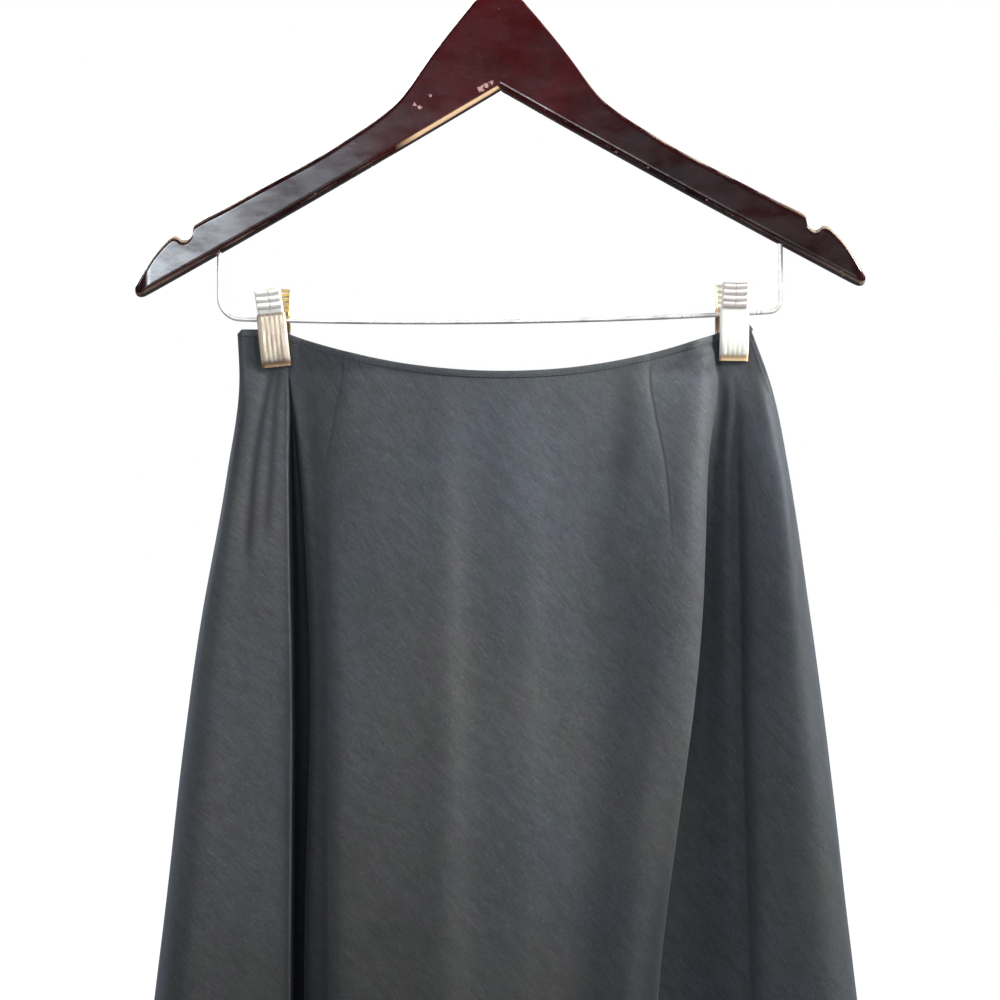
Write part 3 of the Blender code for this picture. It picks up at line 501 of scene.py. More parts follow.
# Side profile of a plate: distance from the bar and height above it, in millimetres.
PLATE_PROFILE = (
    (8.8, 17.2), (7.9, 15.0), (7.4, 12.4), (6.6, 9.8), (6.1, 7.2), (5.1, 4.6),
    (4.1, 2.2), (4.0, -1.8), (4.6, -6.0), (5.0, -12.0), (4.8, -18.5), (4.0, -23.5),
    (2.6, -26.8), (2.45, -28.6),
)
SPRING_RADIUS = 2.7 * MM
SPRING_WIRE = 0.5 * MM
SPRING_LENGTH = 8.4 * MM
SPRING_TURNS = 8
TURN_STEPS = 14


def ribs(height, low, high, count):
    """Even ribs between two heights, fading at both ends."""
    if not low < height < high:
        return 0.0
    return 0.5 - 0.5 * math.cos(2.0 * math.pi * count * (height - low) / (high - low))


def valley(place, low, high, count, width):
    """How deep in the nearest valley between ribs a place is, from 0 to 1."""
    pitch = (high - low) / count
    away = abs((place - low + pitch / 2) % pitch - pitch / 2)
    return math.exp(-(away / width) ** 2) if low - width < place < high + width else 0.0


def plate_shape(facing, span, count, reach):
    """A sheet of metal: a grid bent to the profile, ribbed and fluted, then given its wall."""
    profile = curve_through([Vector(pair) for pair in PLATE_PROFILE], PLATE_STEPS)
    rows = len(profile) - 1
    shape = bmesh.new()
    worn = shape.verts.layers.float.new("edge")
    groove_shade_layer = shape.verts.layers.float.new("groove")
    above = shape.verts.layers.float.new("lever")
    bmesh.ops.create_grid(shape, x_segments=PLATE_COLUMNS, y_segments=rows, size=0.5)
    for corner in shape.verts:
        across = corner.co.x
        row = round((0.5 - corner.co.y) * rows)
        out, up = profile[row]
        up += (reach - 1.0) * max(0.0, up - BEND)
        narrow = max(0.0, min(1.0, (up - SHOULDER[0]) / SHOULDER[1]))
        width = JAW_WIDTH + (LEVER_WIDTH - JAW_WIDTH) * narrow
        bowed = up - RIB_BOW * across ** 2
        spine = math.exp(-(across / SPINE) ** 2)
        ribbed = abs(across) < RIBBED_TO
        raised = RIB_DEPTH * ribs(bowed, *span, count) * (1.0 - 0.55 * spine) * ribbed
        painted_groove_shade = max(valley(bowed, *span, count, RIB_VALLEY), 0.5 * spine * (up > BEND)) * ribbed
        if JAW_SPAN[0] < up < JAW_SPAN[1]:
            ends = min(up - JAW_SPAN[0], JAW_SPAN[1] - up, FLUTE_END) / FLUTE_END
            raised = FLUTE_DEPTH * ends * ribs(across, -FLUTED_TO, FLUTED_TO, FLUTES)
            painted_groove_shade = 0.45 * ends * valley(across, -FLUTED_TO, FLUTED_TO, FLUTES, FLUTE_VALLEY)
        wrapped = SIDE_WRAP * max(0.0, (abs(across) - FLUTED_TO) / (0.5 - FLUTED_TO)) ** 2
        corner.co = (width * across, facing * (out * MM + raised - wrapped), up * MM)
        lip = max(0.0, min(1.0, (LIP[0] - up) / LIP[1]))
        corner[worn] = max(lip, 0.3 * math.exp(-((up - CREASE[0]) / CREASE[1]) ** 2))
        corner[groove_shade_layer] = painted_groove_shade
        corner[above] = max(0.0, min(1.0, (up - BEND + 1.2) / 0.8))
    bmesh.ops.recalc_face_normals(shape, faces=shape.faces[:])
    bmesh.ops.solidify(shape, geom=shape.faces[:], thickness=PLATE)
    return shape


def set_on_bar(shape, x, lean):
    """Lean a clip's part sideways and move it to the bar."""
    matrix = Matrix.Translation((x, BAR_Y, bar_height(x))) @ Matrix.Rotation(-lean, 4, "Y")
    bmesh.ops.transform(shape, matrix=matrix, verts=shape.verts[:])
    return shape


def brassed(name, metallic, bright, golden, brown, lever):
    """Thin bright plating, brushed, golden in patches, with painted shade in its grooves, tan at
    its lip.

    Four tones: the bright plating, its golden patches, where it is tanned, and the lever.
    """
    look = Finish(name, Metallic=metallic)
    brushed = look.noise(look.coordinates("Object", (1400.0, 300.0, 160.0)), 1.0, 3.0)
    strokes = look.noise(look.coordinates("Object", (560.0, 300.0, 45.0)), 1.0, 3.0, 0.6)
    tarnish = look.noise(look.coordinates("Object", (1.6, 1.0, 0.5)), 190.0, 4.0, 0.62)
    shared = look.math("ADD", look.product(tarnish, 0.5), look.product(strokes, 0.5))
    plating = look.blend(look.between(shared, 0.42, 0.60), bright, golden)
    plating = look.blend(look.painted("lever"), plating, lever)
    # Painted shade in the valleys between the ribs and flutes, and down the lever's middle.
    plating = look.blend(look.product(look.painted("groove"), 0.8), plating, GROOVE_SHADE)
    tanned = look.product(look.painted("edge"), look.between(tarnish, 0.2, 0.5, 0.55, 0.95))
    browned = look.math("ADD", look.between(tarnish, 0.66, 0.78, 0.0, 0.5), tanned)
    look.colour(look.blend(browned, plating, brown))
    look.rough(look.math("ADD", look.between(brushed, 0.3, 0.7, 0.0, 0.10),
                         look.between(tarnish, 0.35, 0.75, 0.28, 0.42)))
    look.bump(brushed, 0.015 * MM, 0.4)
    return look


GROOVE_SHADE = (0.30, 0.27, 0.24)
beige = brassed("beige brass", 0.3, (0.66, 0.58, 0.42), (0.44, 0.31, 0.24), (0.20, 0.11, 0.05),
                (0.96, 0.91, 0.80))
cream = brassed("cream brass", 0.25, (0.93, 0.89, 0.78), (0.86, 0.79, 0.63), (0.66, 0.42, 0.20),
                (0.92, 0.80, 0.72))
amber = brassed("amber brass", 0.6, (0.80, 0.60, 0.28), (0.58, 0.36, 0.12), (0.30, 0.15, 0.07),
                (0.84, 0.58, 0.20))
pale_gold = brassed("pale gold", 0.4, (0.70, 0.52, 0.36), (0.40, 0.24, 0.14), (0.26, 0.13, 0.07),
                    (0.92, 0.88, 0.66))
# Each clip along the bar: its spring, then each plate's look, place, lean, ribbed span and
# count of ribs, and how far its lever reaches beyond the profile.
CLIPS = (
    ("left", -135.4, (beige, -136.0, 6.1, (6.4, 17.4), 3, 1.0),
     (amber, -133.3, -2.0, (4.0, 17.6), 4, 1.2)),
    ("right", 142.0, (cream, 143.2, -0.8, (3.4, 17.4), 4, 1.06),
     (pale_gold, 140.4, 0.0, (4.0, 17.6), 4, 1.12)),
)
for name, spring_x, *plates in CLIPS:
    for side, facing, plate in (("front", -1, plates[0]), ("back", 1, plates[1])):
        look, x, lean, *ribbing = plate
        shape = set_on_bar(plate_shape(facing, *ribbing), x * MM, math.radians(lean))
        piece(f"{name}_clip_{side}", shape, look.material, "clip_brass",
              f"clip_{name}_{side}", sharp=50.0)
    coil = []
    for step in range(SPRING_TURNS * TURN_STEPS + 1):
        angle = 2.0 * math.pi * step / TURN_STEPS
        along = (step / (SPRING_TURNS * TURN_STEPS) - 0.5) * SPRING_LENGTH
        coil.append(Vector((along, SPRING_RADIUS * math.cos(angle),
                            SPRING_RADIUS * math.sin(angle))))
    shape = set_on_bar(swept_rod(coil, SPRING_WIRE, 8), spring_x * MM, bar_slope(spring_x * MM))
    piece(f"{name}_clip_spring", shape, steel.material, "hanger_steel", f"clip_{name}_spring")

# ------------------------------------------------------------------ front panel
# The front of the skirt, cut in one and shaped at the waist by two sewn darts, from a
# charcoal twill of uneven yarn; it hangs in one deep narrow fold and one broad one.
CLOTH = 0.9 * MM
SKIRT_Y = -10.0 * MM                # plane of the bar, clips and side seams
PANEL_TOP_Z = -276.5 * MM           # where the panels leave the waist's edge
GRIP_Z = -298.5 * MM                # just under the clips' jaws
HIP_Z = -448.0 * MM
HEM_Z = -1235.0 * MM
TUCKED = 2.2 * MM                   # cloth hidden inside the waist's edge
WAIST_SAG = 27.0 * MM
WAIST_MIDDLE_X = 3.0 * MM
WAIST_HALF_SPAN = 136.0 * MM
RIGHT_CORNER_RISE = 1.065           # half spans over which the waist climbs on the right
HEM_SIDE_RISE = 20.0 * MM
HEM_HALF_WIDTH = 270.0 * MM
HEM_TURN = 28.0 * MM                # cloth turned up inside the hem
HEM_TURN_ROWS = 6
HEM_LINE = (0.22 * MM, 1.6 * MM)    # depth and half width of the line where it is sewn
SLACK_FADE = 80 * MM                # length over which the slack dies away under the clips
# Tones down the cloth: bluer at the top; from below the hip to the hem, painted shade with a warm
# cast of bounced light, darker on the left.
TOP_TO_HIP = ((1.0, 1.0, 1.06), (1.0, 1.0, 1.0))       # tones of the cloth, going down
LOWER_PAINTED_SHADE = ((0.68, 0.665, 0.62), (0.96, 0.96, 0.94))     # to the left, to the right
# Sewn lines of the darts, drawn as painted shade, with a painted highlight on the cloth beside
# them: how dark the line is, how light the cloth is beside it, then the path as x and height.
DARTS = (
    (0.34, 0.06, ((-92.1, -281.0), (-92.1, -290.0), (-92.3, -304.0), (-95.8, -322.0),
                  (-97.7, -337.0), (-99.8, -349.0), (-101.0, -372.0))),
    (0.80, 0.16, ((91.6, -292.0), (91.3, -302.0), (93.4, -320.0), (97.0, -341.0),
                  (99.4, -356.0), (101.4, -380.0), (102.9, -410.0))),
)
ROWS = 154
ROW_CROWDING = 1.3
COLUMN_SPACING = 3.6 * MM
CUT_RADIUS = 932.0 * MM             # of the waist line as it is cut
LEVELS = np.array((-272.0, -305.0, -357.0, -448.0, -647.0, -1235.0)) * MM
# Fold lines, in millimetres: x at each of the levels above, from waist to hem, then the
# distance out from the plane of the side seams at waist, hip and hem.
LEFT_SEAM = ("left seam", -156.7, -155.5, -162.2, -177.9, -202.7, -262.0, 0.0, 0.0, 0.0)
RIGHT_SEAM = ("right seam", 153.3, 165.2, 176.0, 188.7, 213.6, 284.0, 0.0, 0.0, 0.0)
FRONT_LINES = (
    LEFT_SEAM,
    ("left turn",       -155.6, -153.8, -159.8, -174.8, -198.0, -254.5, 1.6, 16.5, 38.0),
    ("left side",       -152.0, -150.6, -155.0, -167.0, -185.0, -234.0, 1.6, 32.4, 68.5),
    ("left flank",      -145.7, -140.5, -142.5, -146.0, -152.0, -180.0, 1.0, 36.2, 74.0),
    ("left ridge",      -135.6, -128.6, -125.2, -121.9, -120.8, -120.6, 1.0, 38.4, 76.5),
    ("left lip",        -134.0, -127.0, -123.6, -120.2, -119.0, -118.6, 1.0, 38.8, 76.8),
    ("under left lip",  -132.2, -126.4, -124.3, -121.2, -120.2, -120.0, 1.0, 35.0, 69.0),
    ("left fold floor", -130.0, -125.6, -123.6, -121.5, -121.5, -124.0, 1.0, 2.0, 4.0),
    ("left fold foot",  -128.6, -125.0, -118.2, -111.6, -112.6, -111.0, 1.0, 2.4, 5.0),
    ("under left wall", -127.4, -124.4, -115.2, -107.8, -109.0, -107.0, 1.2, 12.0, 22.0),
    ("left wall edge",  -126.0, -123.7, -117.0, -110.8, -113.2, -111.0, 1.4, 25.6, 48.0),
    ("left wall",       -123.5, -119.8, -112.0, -106.2, -106.8, -103.0, 1.8, 28.6, 56.0),
    ("left crease",     -120.1, -114.2, -105.0, -100.2, -98.4, -95.0, 2.2, 29.2, 60.5),
    ("past left crease", -117.4, -111.8, -102.4, -97.6, -95.6, -92.0, 3.4, 35.0, 71.0),
    ("front left",      -90.7, -90.4, -86.3, -76.8, -70.2, -66.0, 14.0, 38.8, 76.0),
    ("centre left",     -45.5, -45.4, -45.0, -43.8, -42.0, -44.0, 23.0, 40.8, 82.0),
    ("crest",           -28.4, -28.4, -28.4, -28.4, -28.2, -30.0, 25.2, 41.6, 84.0),
    ("past crest",      -17.5, -17.5, -17.5, -17.5, -16.5, -18.0, 25.9, 38.6, 80.0),
    ("second ridge",    13.0, 13.0, 15.0, 16.0, 14.0, 10.0, 25.9, 37.4, 78.0),
    ("past second ridge", 34.0, 34.0, 35.0, 35.0, 31.0, 24.0, 23.6, 33.4, 73.0),
    ("centre right",    62.0, 62.0, 63.0, 63.0, 52.0, 40.0, 20.0, 31.2, 68.0),
    ("front right",     101.4, 103.4, 102.4, 98.0, 76.0, 58.0, 13.0, 39.4, 80.0),
    ("before right lip", 121.0, 122.8, 117.4, 111.8, 86.0, 64.0, 10.4, 38.4, 81.0),
    ("right lip",       128.6, 130.5, 124.6, 120.0, 93.5, 70.0, 3.2, 32.6, 93.0),
    ("under right lip", 130.8, 131.8, 123.0, 117.6, 92.0, 68.5, 1.4, 23.0, 60.0),
    ("right fold foot", 132.6, 133.2, 123.2, 117.4, 94.5, 74.0, 1.0, 5.0, 14.0),
    ("right valley",    135.0, 135.6, 130.0, 126.0, 116.0, 104.0, 1.0, 2.6, 7.0),
    ("valley edge",     138.2, 140.0, 138.6, 138.0, 143.0, 153.0, 1.0, 9.0, 19.0),
    ("right fold line", 141.2, 143.6, 145.0, 146.6, 151.5, 173.0, 1.0, 9.6, 20.0),
    ("fold line top",   143.6, 147.4, 148.6, 149.8, 155.5, 182.0, 1.0, 17.4, 37.0),
    ("right ridge",     147.6, 157.4, 167.4, 174.6, 192.5, 234.0, 1.0, 29.0, 63.0),
    ("right side",      149.9, 161.0, 172.0, 182.8, 205.5, 261.0, 1.0, 22.0, 48.0),
    ("right turn",      152.4, 163.8, 174.4, 187.2, 211.2, 277.0, 1.4, 10.5, 25.0),
    RIGHT_SEAM,
)
# Soft ridges and troughs, in millimetres: height, reach to the left and to the right,
# length over which each end dies away, then its path as x and height.
FRONT_CREASES = (
    ("left dart",         -0.35, 3.0, 3.0, 5.0, 8.0,
     ((-92.1, -270.0), (-92.1, -290.0), (-92.3, -304.0), (-95.8, -322.0), (-97.7, -337.0),
      (-99.8, -349.0), (-101.0, -362.0))),
    ("left dart swell",   0.8, 7.0, 14.0, 8.0, 25.0,
     ((-86.0, -285.0), (-86.5, -304.0), (-90.0, -322.0), (-92.0, -337.0), (-94.0, -360.0))),
    ("right dart",        -0.45, 2.0, 4.0, 5.0, 8.0,
     ((91.0, -275.0), (90.7, -300.0), (93.2, -320.0), (97.0, -341.0), (99.4, -356.0),
      (101.4, -380.0), (102.9, -396.0))),
    ("right dart swell",  0.4, 11.0, 6.0, 8.0, 30.0,
     ((86.0, -285.0), (86.0, -317.0), (90.0, -337.0), (94.0, -363.0), (98.0, -400.0))),
    ("left drag",         -0.9, 7.0, 3.2, 8.0, 60.0,
     ((-135.0, -295.0), (-136.5, -301.0), (-139.2, -316.0), (-141.8, -334.0),
      (-143.4, -351.0), (-144.6, -369.0), (-145.6, -393.0), (-146.4, -440.0))),
    ("right drag",        -0.6, 4.0, 2.6, 8.0, 60.0,
     ((-131.8, -295.0), (-132.2, -301.0), (-133.0, -316.0), (-133.6, -340.0),
      (-134.0, -363.0), (-136.0, -420.0))),
    ("crest swell",       0.8, 26.0, 14.0, 150.0, 40.0,
     ((-29.0, -360.0), (-29.0, -640.0), (-30.0, -1300.0))),
    ("second swell",      0.6, 20.0, 13.0, 60.0, 150.0,
     ((15.5, -325.0), (17.5, -400.0), (18.0, -560.0))),
    ("slanting slack",    1.0, 9.0, 12.0, 20.0, 40.0,
     ((95.0, -325.0), (86.0, -350.0), (72.0, -395.0), (58.0, -430.0))),
    ("clip pucker high",  0.9, 2.2, 2.8, 4.0, 5.0,
     ((121.0, -276.0), (118.0, -284.0), (112.0, -292.0))),
    ("clip pucker low",   1.0, 2.6, 3.2, 4.0, 8.0,
     ((131.0, -283.0), (126.0, -293.0), (120.0, -304.0))),
)
# Painted shade: tight creases and hollows, shadows beside the clips' jaws, and the folds' edges;
# strength, half width, length over which each end fades, then the path as x and height.
FRONT_SHADE = (
    (0.32, 6.5, 18.0, 26.0, ((101.0, -332.0), (104.5, -352.0), (107.0, -392.0), (108.0, -412.0))),
    (0.74, 2.4, 3.0, 14.0, ((-135.0, -294.0), (-136.5, -301.0), (-139.0, -316.0),
                            (-141.4, -334.0), (-143.0, -351.0), (-144.2, -369.0),
                            (-145.2, -393.0), (-146.0, -415.0))),
    (0.70, 1.7, 3.0, 14.0, ((-126.4, -306.0), (-123.0, -357.0), (-119.6, -448.0),
                            (-118.4, -647.0), (-118.0, -1260.0))),
    (0.64, 1.9, 10.0, 14.0, ((-121.8, -318.0), (-120.4, -346.0), (-117.6, -404.0),
                             (-116.6, -448.0), (-115.8, -560.0), (-115.4, -1260.0))),
    (0.34, 2.4, 3.0, 14.0, ((-109.5, -330.0), (-107.6, -357.0), (-103.0, -448.0),
                            (-100.4, -647.0), (-97.0, -1260.0))),
    (0.64, 2.3, 3.0, 14.0, ((-131.4, -294.0), (-132.0, -301.0), (-132.8, -316.0),
                            (-133.4, -340.0), (-133.8, -363.0), (-135.4, -400.0))),
    (0.80, 1.3, 3.0, 5.0, ((-146.4, -274.0), (-143.4, -297.0))),
    (0.80, 1.2, 3.0, 5.0, ((-125.6, -282.0), (-124.0, -299.0))),
    (0.80, 1.6, 3.0, 5.0, ((133.6, -272.0), (134.2, -299.0))),
    (0.60, 0.9, 3.0, 5.0, ((152.4, -278.0), (151.4, -299.0))),
    (0.36, 5.0, 8.0, 30.0, ((-146.0, -294.0), (-148.5, -315.0), (-153.0, -351.0),
                            (-157.0, -385.0))),
    (0.30, 4.0, 8.0, 20.0, ((-119.5, -296.0), (-117.0, -315.0), (-114.0, -340.0))),
    (0.46, 4.0, 10.0, 24.0, ((136.0, -294.0), (138.5, -315.0), (139.5, -345.0))),
    (0.46, 5.5, 12.0, 24.0, ((150.0, -288.0), (158.5, -315.0), (165.0, -342.0))),
    (0.66, 6.0, 160.0, 20.0, ((-119.5, -400.0), (-118.5, -560.0), (-117.5, -647.0),
                              (-117.0, -1260.0))),
    (0.50, 4.5, 1.5, 2.0, ((132.0, -277.0), (123.0, -284.0))),
    (0.60, 6.0, 1.2, 1.5, ((131.0, -285.4), (117.0, -290.4))),
    (0.40, 5.0, 1.5, 2.0, ((112.0, -292.0), (100.0, -299.0))),
    (0.50, 8.5, 12.0, 26.0, ((75.5, -290.0), (77.5, -305.0), (78.0, -318.0), (76.5, -335.0),
                             (73.5, -352.0), (72.0, -374.0))),
    (0.24, 11.0, 25.0, 40.0, ((108.0, -300.0), (106.0, -345.0), (104.0, -390.0))),
    (0.56, 9.0, 110.0, 20.0, ((113.0, -500.0), (104.0, -556.0), (96.0, -617.0),
                              (90.0, -660.0), (80.0, -900.0), (70.0, -1260.0))),
)


def through_levels(values, z):
    """A smooth curve through one value at each level, read at the heights z."""
    depth = -LEVELS
    value = np.array(values) * MM
    step = np.diff(depth)
    rise = np.diff(value) / step
    inner = (step[:-1] * rise[1:] + step[1:] * rise[:-1]) / (step[:-1] + step[1:])
    slope = np.concatenate((rise[:1], inner, rise[-1:]))
    here = np.clip(-z, depth[0], depth[-1])
    index = np.clip(np.searchsorted(depth, here, side="right") - 1, 0, len(step) - 1)
    t = (here - depth[index]) / step[index]
    return (value[index] * (2 * t ** 3 - 3 * t ** 2 + 1)
            + slope[index] * step[index] * (t ** 3 - 2 * t ** 2 + t)
            + value[index + 1] * (3 * t ** 2 - 2 * t ** 3)
            + slope[index + 1] * step[index] * (t ** 3 - t ** 2))


def distance_out(held, hip, hem, z):
    """How far a fold line stands out: held at the grip, easing out to the hip."""
    freed = np.clip((GRIP_Z - z) / (GRIP_Z - HIP_Z), 0.0, 1.0)
    eased = held + (hip - held) * (1.0 - (1.0 - freed) ** 2)
    below = np.clip((HIP_Z - z) / (HIP_Z - HEM_Z), 0.0, 1.0)
    return (eased + (hem - hip) * below) * MM


def across(lines, places, z):
    """Points of a panel's section, as x and distance out; places count the fold lines."""
    run = [np.stack((through_levels(line[1:7], z), distance_out(*line[7:], z)), -1)
           for line in lines]
    for end, inner, where in ((run[0], run[1], 0), (run[-1], run[-2], len(run) + 1)):
        centre_seam = abs(end[0, 0, 0]) < MM
        mirror = inner * ((-1.0, 1.0) if centre_seam else (1.0, -1.0))
        run.insert(where, mirror)
    run = np.array(run)
    index = np.minimum(places.astype(int), len(lines) - 2)
    column = np.arange(len(places))
    before, here, there, after = (run[index + step, :, column].swapaxes(0, 1) for step in range(4))

    def gap(first, second):
        return np.sqrt(np.linalg.norm(second - first, axis=-1, keepdims=True)) + 1e-9

    t1 = gap(before, here)
    t2 = t1 + gap(here, there)
    t3 = t2 + gap(there, after)
    t = t1 + (t2 - t1) * (places - index)[None, :, None]
    a1 = (before * (t1 - t) + here * t) / t1
    a2 = (here * (t2 - t) + there * (t - t1)) / (t2 - t1)
    a3 = (there * (t3 - t) + after * (t - t2)) / (t3 - t2)
    b1 = (a1 * (t2 - t) + a2 * t) / t2
    b2 = (a2 * (t3 - t) + a3 * (t - t1)) / (t3 - t1)
    return (b1 * (t2 - t) + b2 * (t - t1)) / (t2 - t1)


def column_places(lines):
    """Columns of a panel's grid: one on each fold line, and more between them."""
    heights = np.array([[HIP_Z], [HEM_Z]])
    run = [np.stack((through_levels(line[1:7], heights), distance_out(*line[7:], heights)), -1)
           for line in lines]
    places = []
    for index in range(len(lines) - 1):
        hip, hem = np.linalg.norm(run[index + 1] - run[index], axis=-1)[:, 0]
        count = max(3, round(max(hip * 1.7, hem) / COLUMN_SPACING))
        places += [index + step / count for step in range(count)]
    return np.array(places + [len(lines) - 1.0])


def waist_dip(x, sag):
    """How far the waist hangs below the level of the clips."""
    limit = np.where(x > WAIST_MIDDLE_X, RIGHT_CORNER_RISE, 1.0)
    beside = np.minimum(np.abs(x - WAIST_MIDDLE_X) / WAIST_HALF_SPAN, limit)
    return -sag * (1.0 - beside ** 2)


def hung(lines, facing, sag):
    """A panel's points as rows from the waist to the hem, in its hung folds."""
    places = column_places(lines)
    top = PANEL_TOP_Z + TUCKED
    share = np.linspace(0.0, 1.0, ROWS + 1) ** ROW_CROWDING
    level = np.repeat((top + (HEM_Z - top) * share)[:, None], len(places), 1)
    x = across(lines, places, level)[..., 0]
    loose = np.clip((level - HIP_Z) / (PANEL_TOP_Z - HIP_Z), 0.0, 1.0) ** 1.5
    down = np.clip((GRIP_Z - level) / (GRIP_Z - HEM_Z), 0.0, 1.0)
    rise = HEM_SIDE_RISE * (x / HEM_HALF_WIDTH) ** 2 * down ** 2
    z = level + waist_dip(x, sag) * loose + rise
    flat = across(lines, places, z)
    return np.stack((flat[..., 0], SKIRT_Y + facing * flat[..., 1], z), -1)


def outward(points, facing):
    """The direction out of the cloth at each of its points."""
    normal = np.cross(np.gradient(points, axis=1), np.gradient(points, axis=0))
    return normal * facing / np.linalg.norm(normal, axis=-1, keepdims=True)


def softened(points, passes):
    """Ease the folds along each row, keeping the side edges and the gripped rows."""
    free = np.clip((GRIP_Z + 6 * MM - points[:, 1:-1, 2:]) / (20 * MM), 0.0, 1.0)
    for _ in range(passes):
        eased = 0.25 * points[:, :-2] + 0.5 * points[:, 1:-1] + 0.25 * points[:, 2:]
        points[:, 1:-1] += (eased - points[:, 1:-1]) * free
    return points


def along_path(path, z):
    """Where a path lies at the heights z, and the heights of its two ends."""
    middle = np.interp(-z, [-low * MM for _, low in path], [side * MM for side, _ in path])
    return middle, path[0][1] * MM, path[-1][1] * MM


def crease_height(x, z, height, left, right, fade_in, fade_out, path):
    """Height of one soft ridge or trough at each point."""
    middle, start, stop = along_path(path, z)
    away = x - middle
    profile = np.exp(-(away / (np.where(away < 0.0, left, right) * MM)) ** 2)
    begun = np.clip((start - z) / (fade_in * MM), 0.0, 1.0)
    ended = np.clip((z - stop) / (fade_out * MM), 0.0, 1.0)
    fade = begun ** 2 * (3 - 2 * begun) * ended ** 2 * (3 - 2 * ended)
    return height * MM * profile * fade


def slack(x, z, seed):
    """The faint unevenness that any hung cloth has, a fraction of a millimetre."""
    flat = np.stack((x.ravel(), z.ravel()), -1)
    found = [0.55 * noise.noise(Vector((a * 11.0, b * 5.0, seed)))
             + 0.22 * noise.noise(Vector((a * 34.0, b * 17.0, seed + 7.0))) for a, b in flat]
    return np.array(found).reshape(x.shape) * 1.3 * MM


def lengths_along(points):
    """Length of cloth from the first point of each row to each of its points."""
    steps = np.linalg.norm(np.diff(points, axis=-2), axis=-1)
    return np.concatenate((np.zeros((*steps.shape[:-1], 1)), np.cumsum(steps, axis=-1)), -1)


def seam_pull(points, column, depth, reach, offset=0.0):
    """A groove beside one edge of a panel, where it is sewn to its neighbour."""
    run = lengths_along(points)
    away = np.abs(run - run[:, column][:, None]) - offset * MM
    return -depth * MM * np.exp(-(away / (reach * MM)) ** 2)


def cut_places(points):
    """Where each point lay in the flat cloth, in metres, straight with its grain."""
    run = lengths_along(points)
    centre = np.argmin(np.abs(points[0, :, 0]))
    run -= run[:, centre][:, None]
    radius = CUT_RADIUS + lengths_along(points[:, centre])[:, None]
    angle = run / radius
    return np.stack((radius * np.sin(angle), CUT_RADIUS - radius * np.cos(angle)), -1)


def relief_of(points, seed, creases, pulls):
    """How far a panel's creases, its seams and its hem stand out of its folds."""
    x, z = points[..., 0], points[..., 2]
    relief = slack(x, z, seed) * np.clip((GRIP_Z - z) / SLACK_FADE, 0.0, 1.0)
    for name, *numbers in creases:
        relief += crease_height(x, z, *numbers)
    relief += sum(seam_pull(points, *numbers) for numbers in pulls)
    relief -= HEM_LINE[0] * np.exp(-((z - (z[-1] + HEM_TURN)) / HEM_LINE[1]) ** 2)
    return relief[..., None]


def turned_up(points, normals):
    """Add the rows of the hem, turned up inside the panel."""
    rows = [points]
    step = np.linalg.norm(points[-1] - points[-2], axis=-1).mean()
    fold = points[-1] - normals[-1] * 0.7 * MM
    fold[:, 2] -= 0.5 * MM
    rows.append(fold[None])
    for number in range(HEM_TURN_ROWS):
        back = HEM_TURN * (number + 0.3) / HEM_TURN_ROWS / step
        row = len(points) - 1 - back
        low, part = int(row), row - int(row)
        place = points[low] * (1 - part) + points[min(low + 1, len(points) - 1)] * part
        rows.append((place - normals[low] * 1.4 * MM)[None])
    return np.concatenate(rows)


def shaded(points, shades):
    """How dark the painted shade makes every point."""
    x, z = points[..., 0], points[..., 2]
    shade = np.zeros(x.shape)
    for strength, width, fade_in, fade_out, path in shades:
        middle, start, stop = along_path(path, z)
        begun = np.clip((start - z) / (fade_in * MM), 0.0, 1.0)
        inside = begun * np.clip((z - stop) / (fade_out * MM), 0.0, 1.0)
        shade = np.maximum(shade, strength * inside * np.exp(-((x - middle) / (width * MM)) ** 2))
    return shade


def cloth_piece(name, points, look, thickness, shades=()):
    """A panel: a grid set to its points, with its cut as its UV map, and a thin wall."""
    rows, columns = points.shape[0] - 1, points.shape[1] - 1
    shade = shaded(points, shades)
    cut = cut_places(points)
    shape = bmesh.new()
    layer = shape.loops.layers.uv.new("cut")
    shaded_layer = shape.verts.layers.float.new("shade")
    bmesh.ops.create_grid(shape, x_segments=columns, y_segments=rows, size=0.5)
    grid = {corner: (round((0.5 - corner.co.y) * rows), round((corner.co.x + 0.5) * columns))
            for corner in shape.verts}
    for face in shape.faces:
        for loop in face.loops:
            loop[layer].uv = cut[grid[loop.vert]]
    for corner, place in grid.items():
        corner.co = points[place]
        corner[shaded_layer] = shade[place]
    made = piece(name, shape, look, "skirt_cloth", sharp=180.0)
    wall = made.modifiers.new("cloth", "SOLIDIFY")
    wall.thickness = thickness
    wall.offset = 0.0
    return made


def dart_line(look, parts, path):
    """Distance across a dart's sewn line, and how much of the line is there."""
    low_x, high_x = min(x for x, _ in path) * MM, max(x for x, _ in path) * MM
    top, bottom = path[0][1] * MM, path[-1][1] * MM
    down = look.between(parts["Z"], top, bottom)
    curve = look.node("ShaderNodeFloatCurve", {"Value": down})
    points = curve.mapping.curves[0].points
    places = [((z * MM - top) / (bottom - top), (x * MM - low_x) / (high_x - low_x))
              for x, z in path]
    points[0].location, points[1].location = places[0], places[-1]
    for place in places[1:-1]:
        points.new(*place)
    curve.mapping.update()
    middle = look.between(curve, 0.0, 1.0, low_x, high_x)
    there = look.product(look.between(down, 0.0, 0.08), look.between(down, 1.0, 0.72),
                         look.between(parts["Y"], -10.5 * MM, -13.0 * MM))
    return look.math("SUBTRACT", parts["X"], middle), there


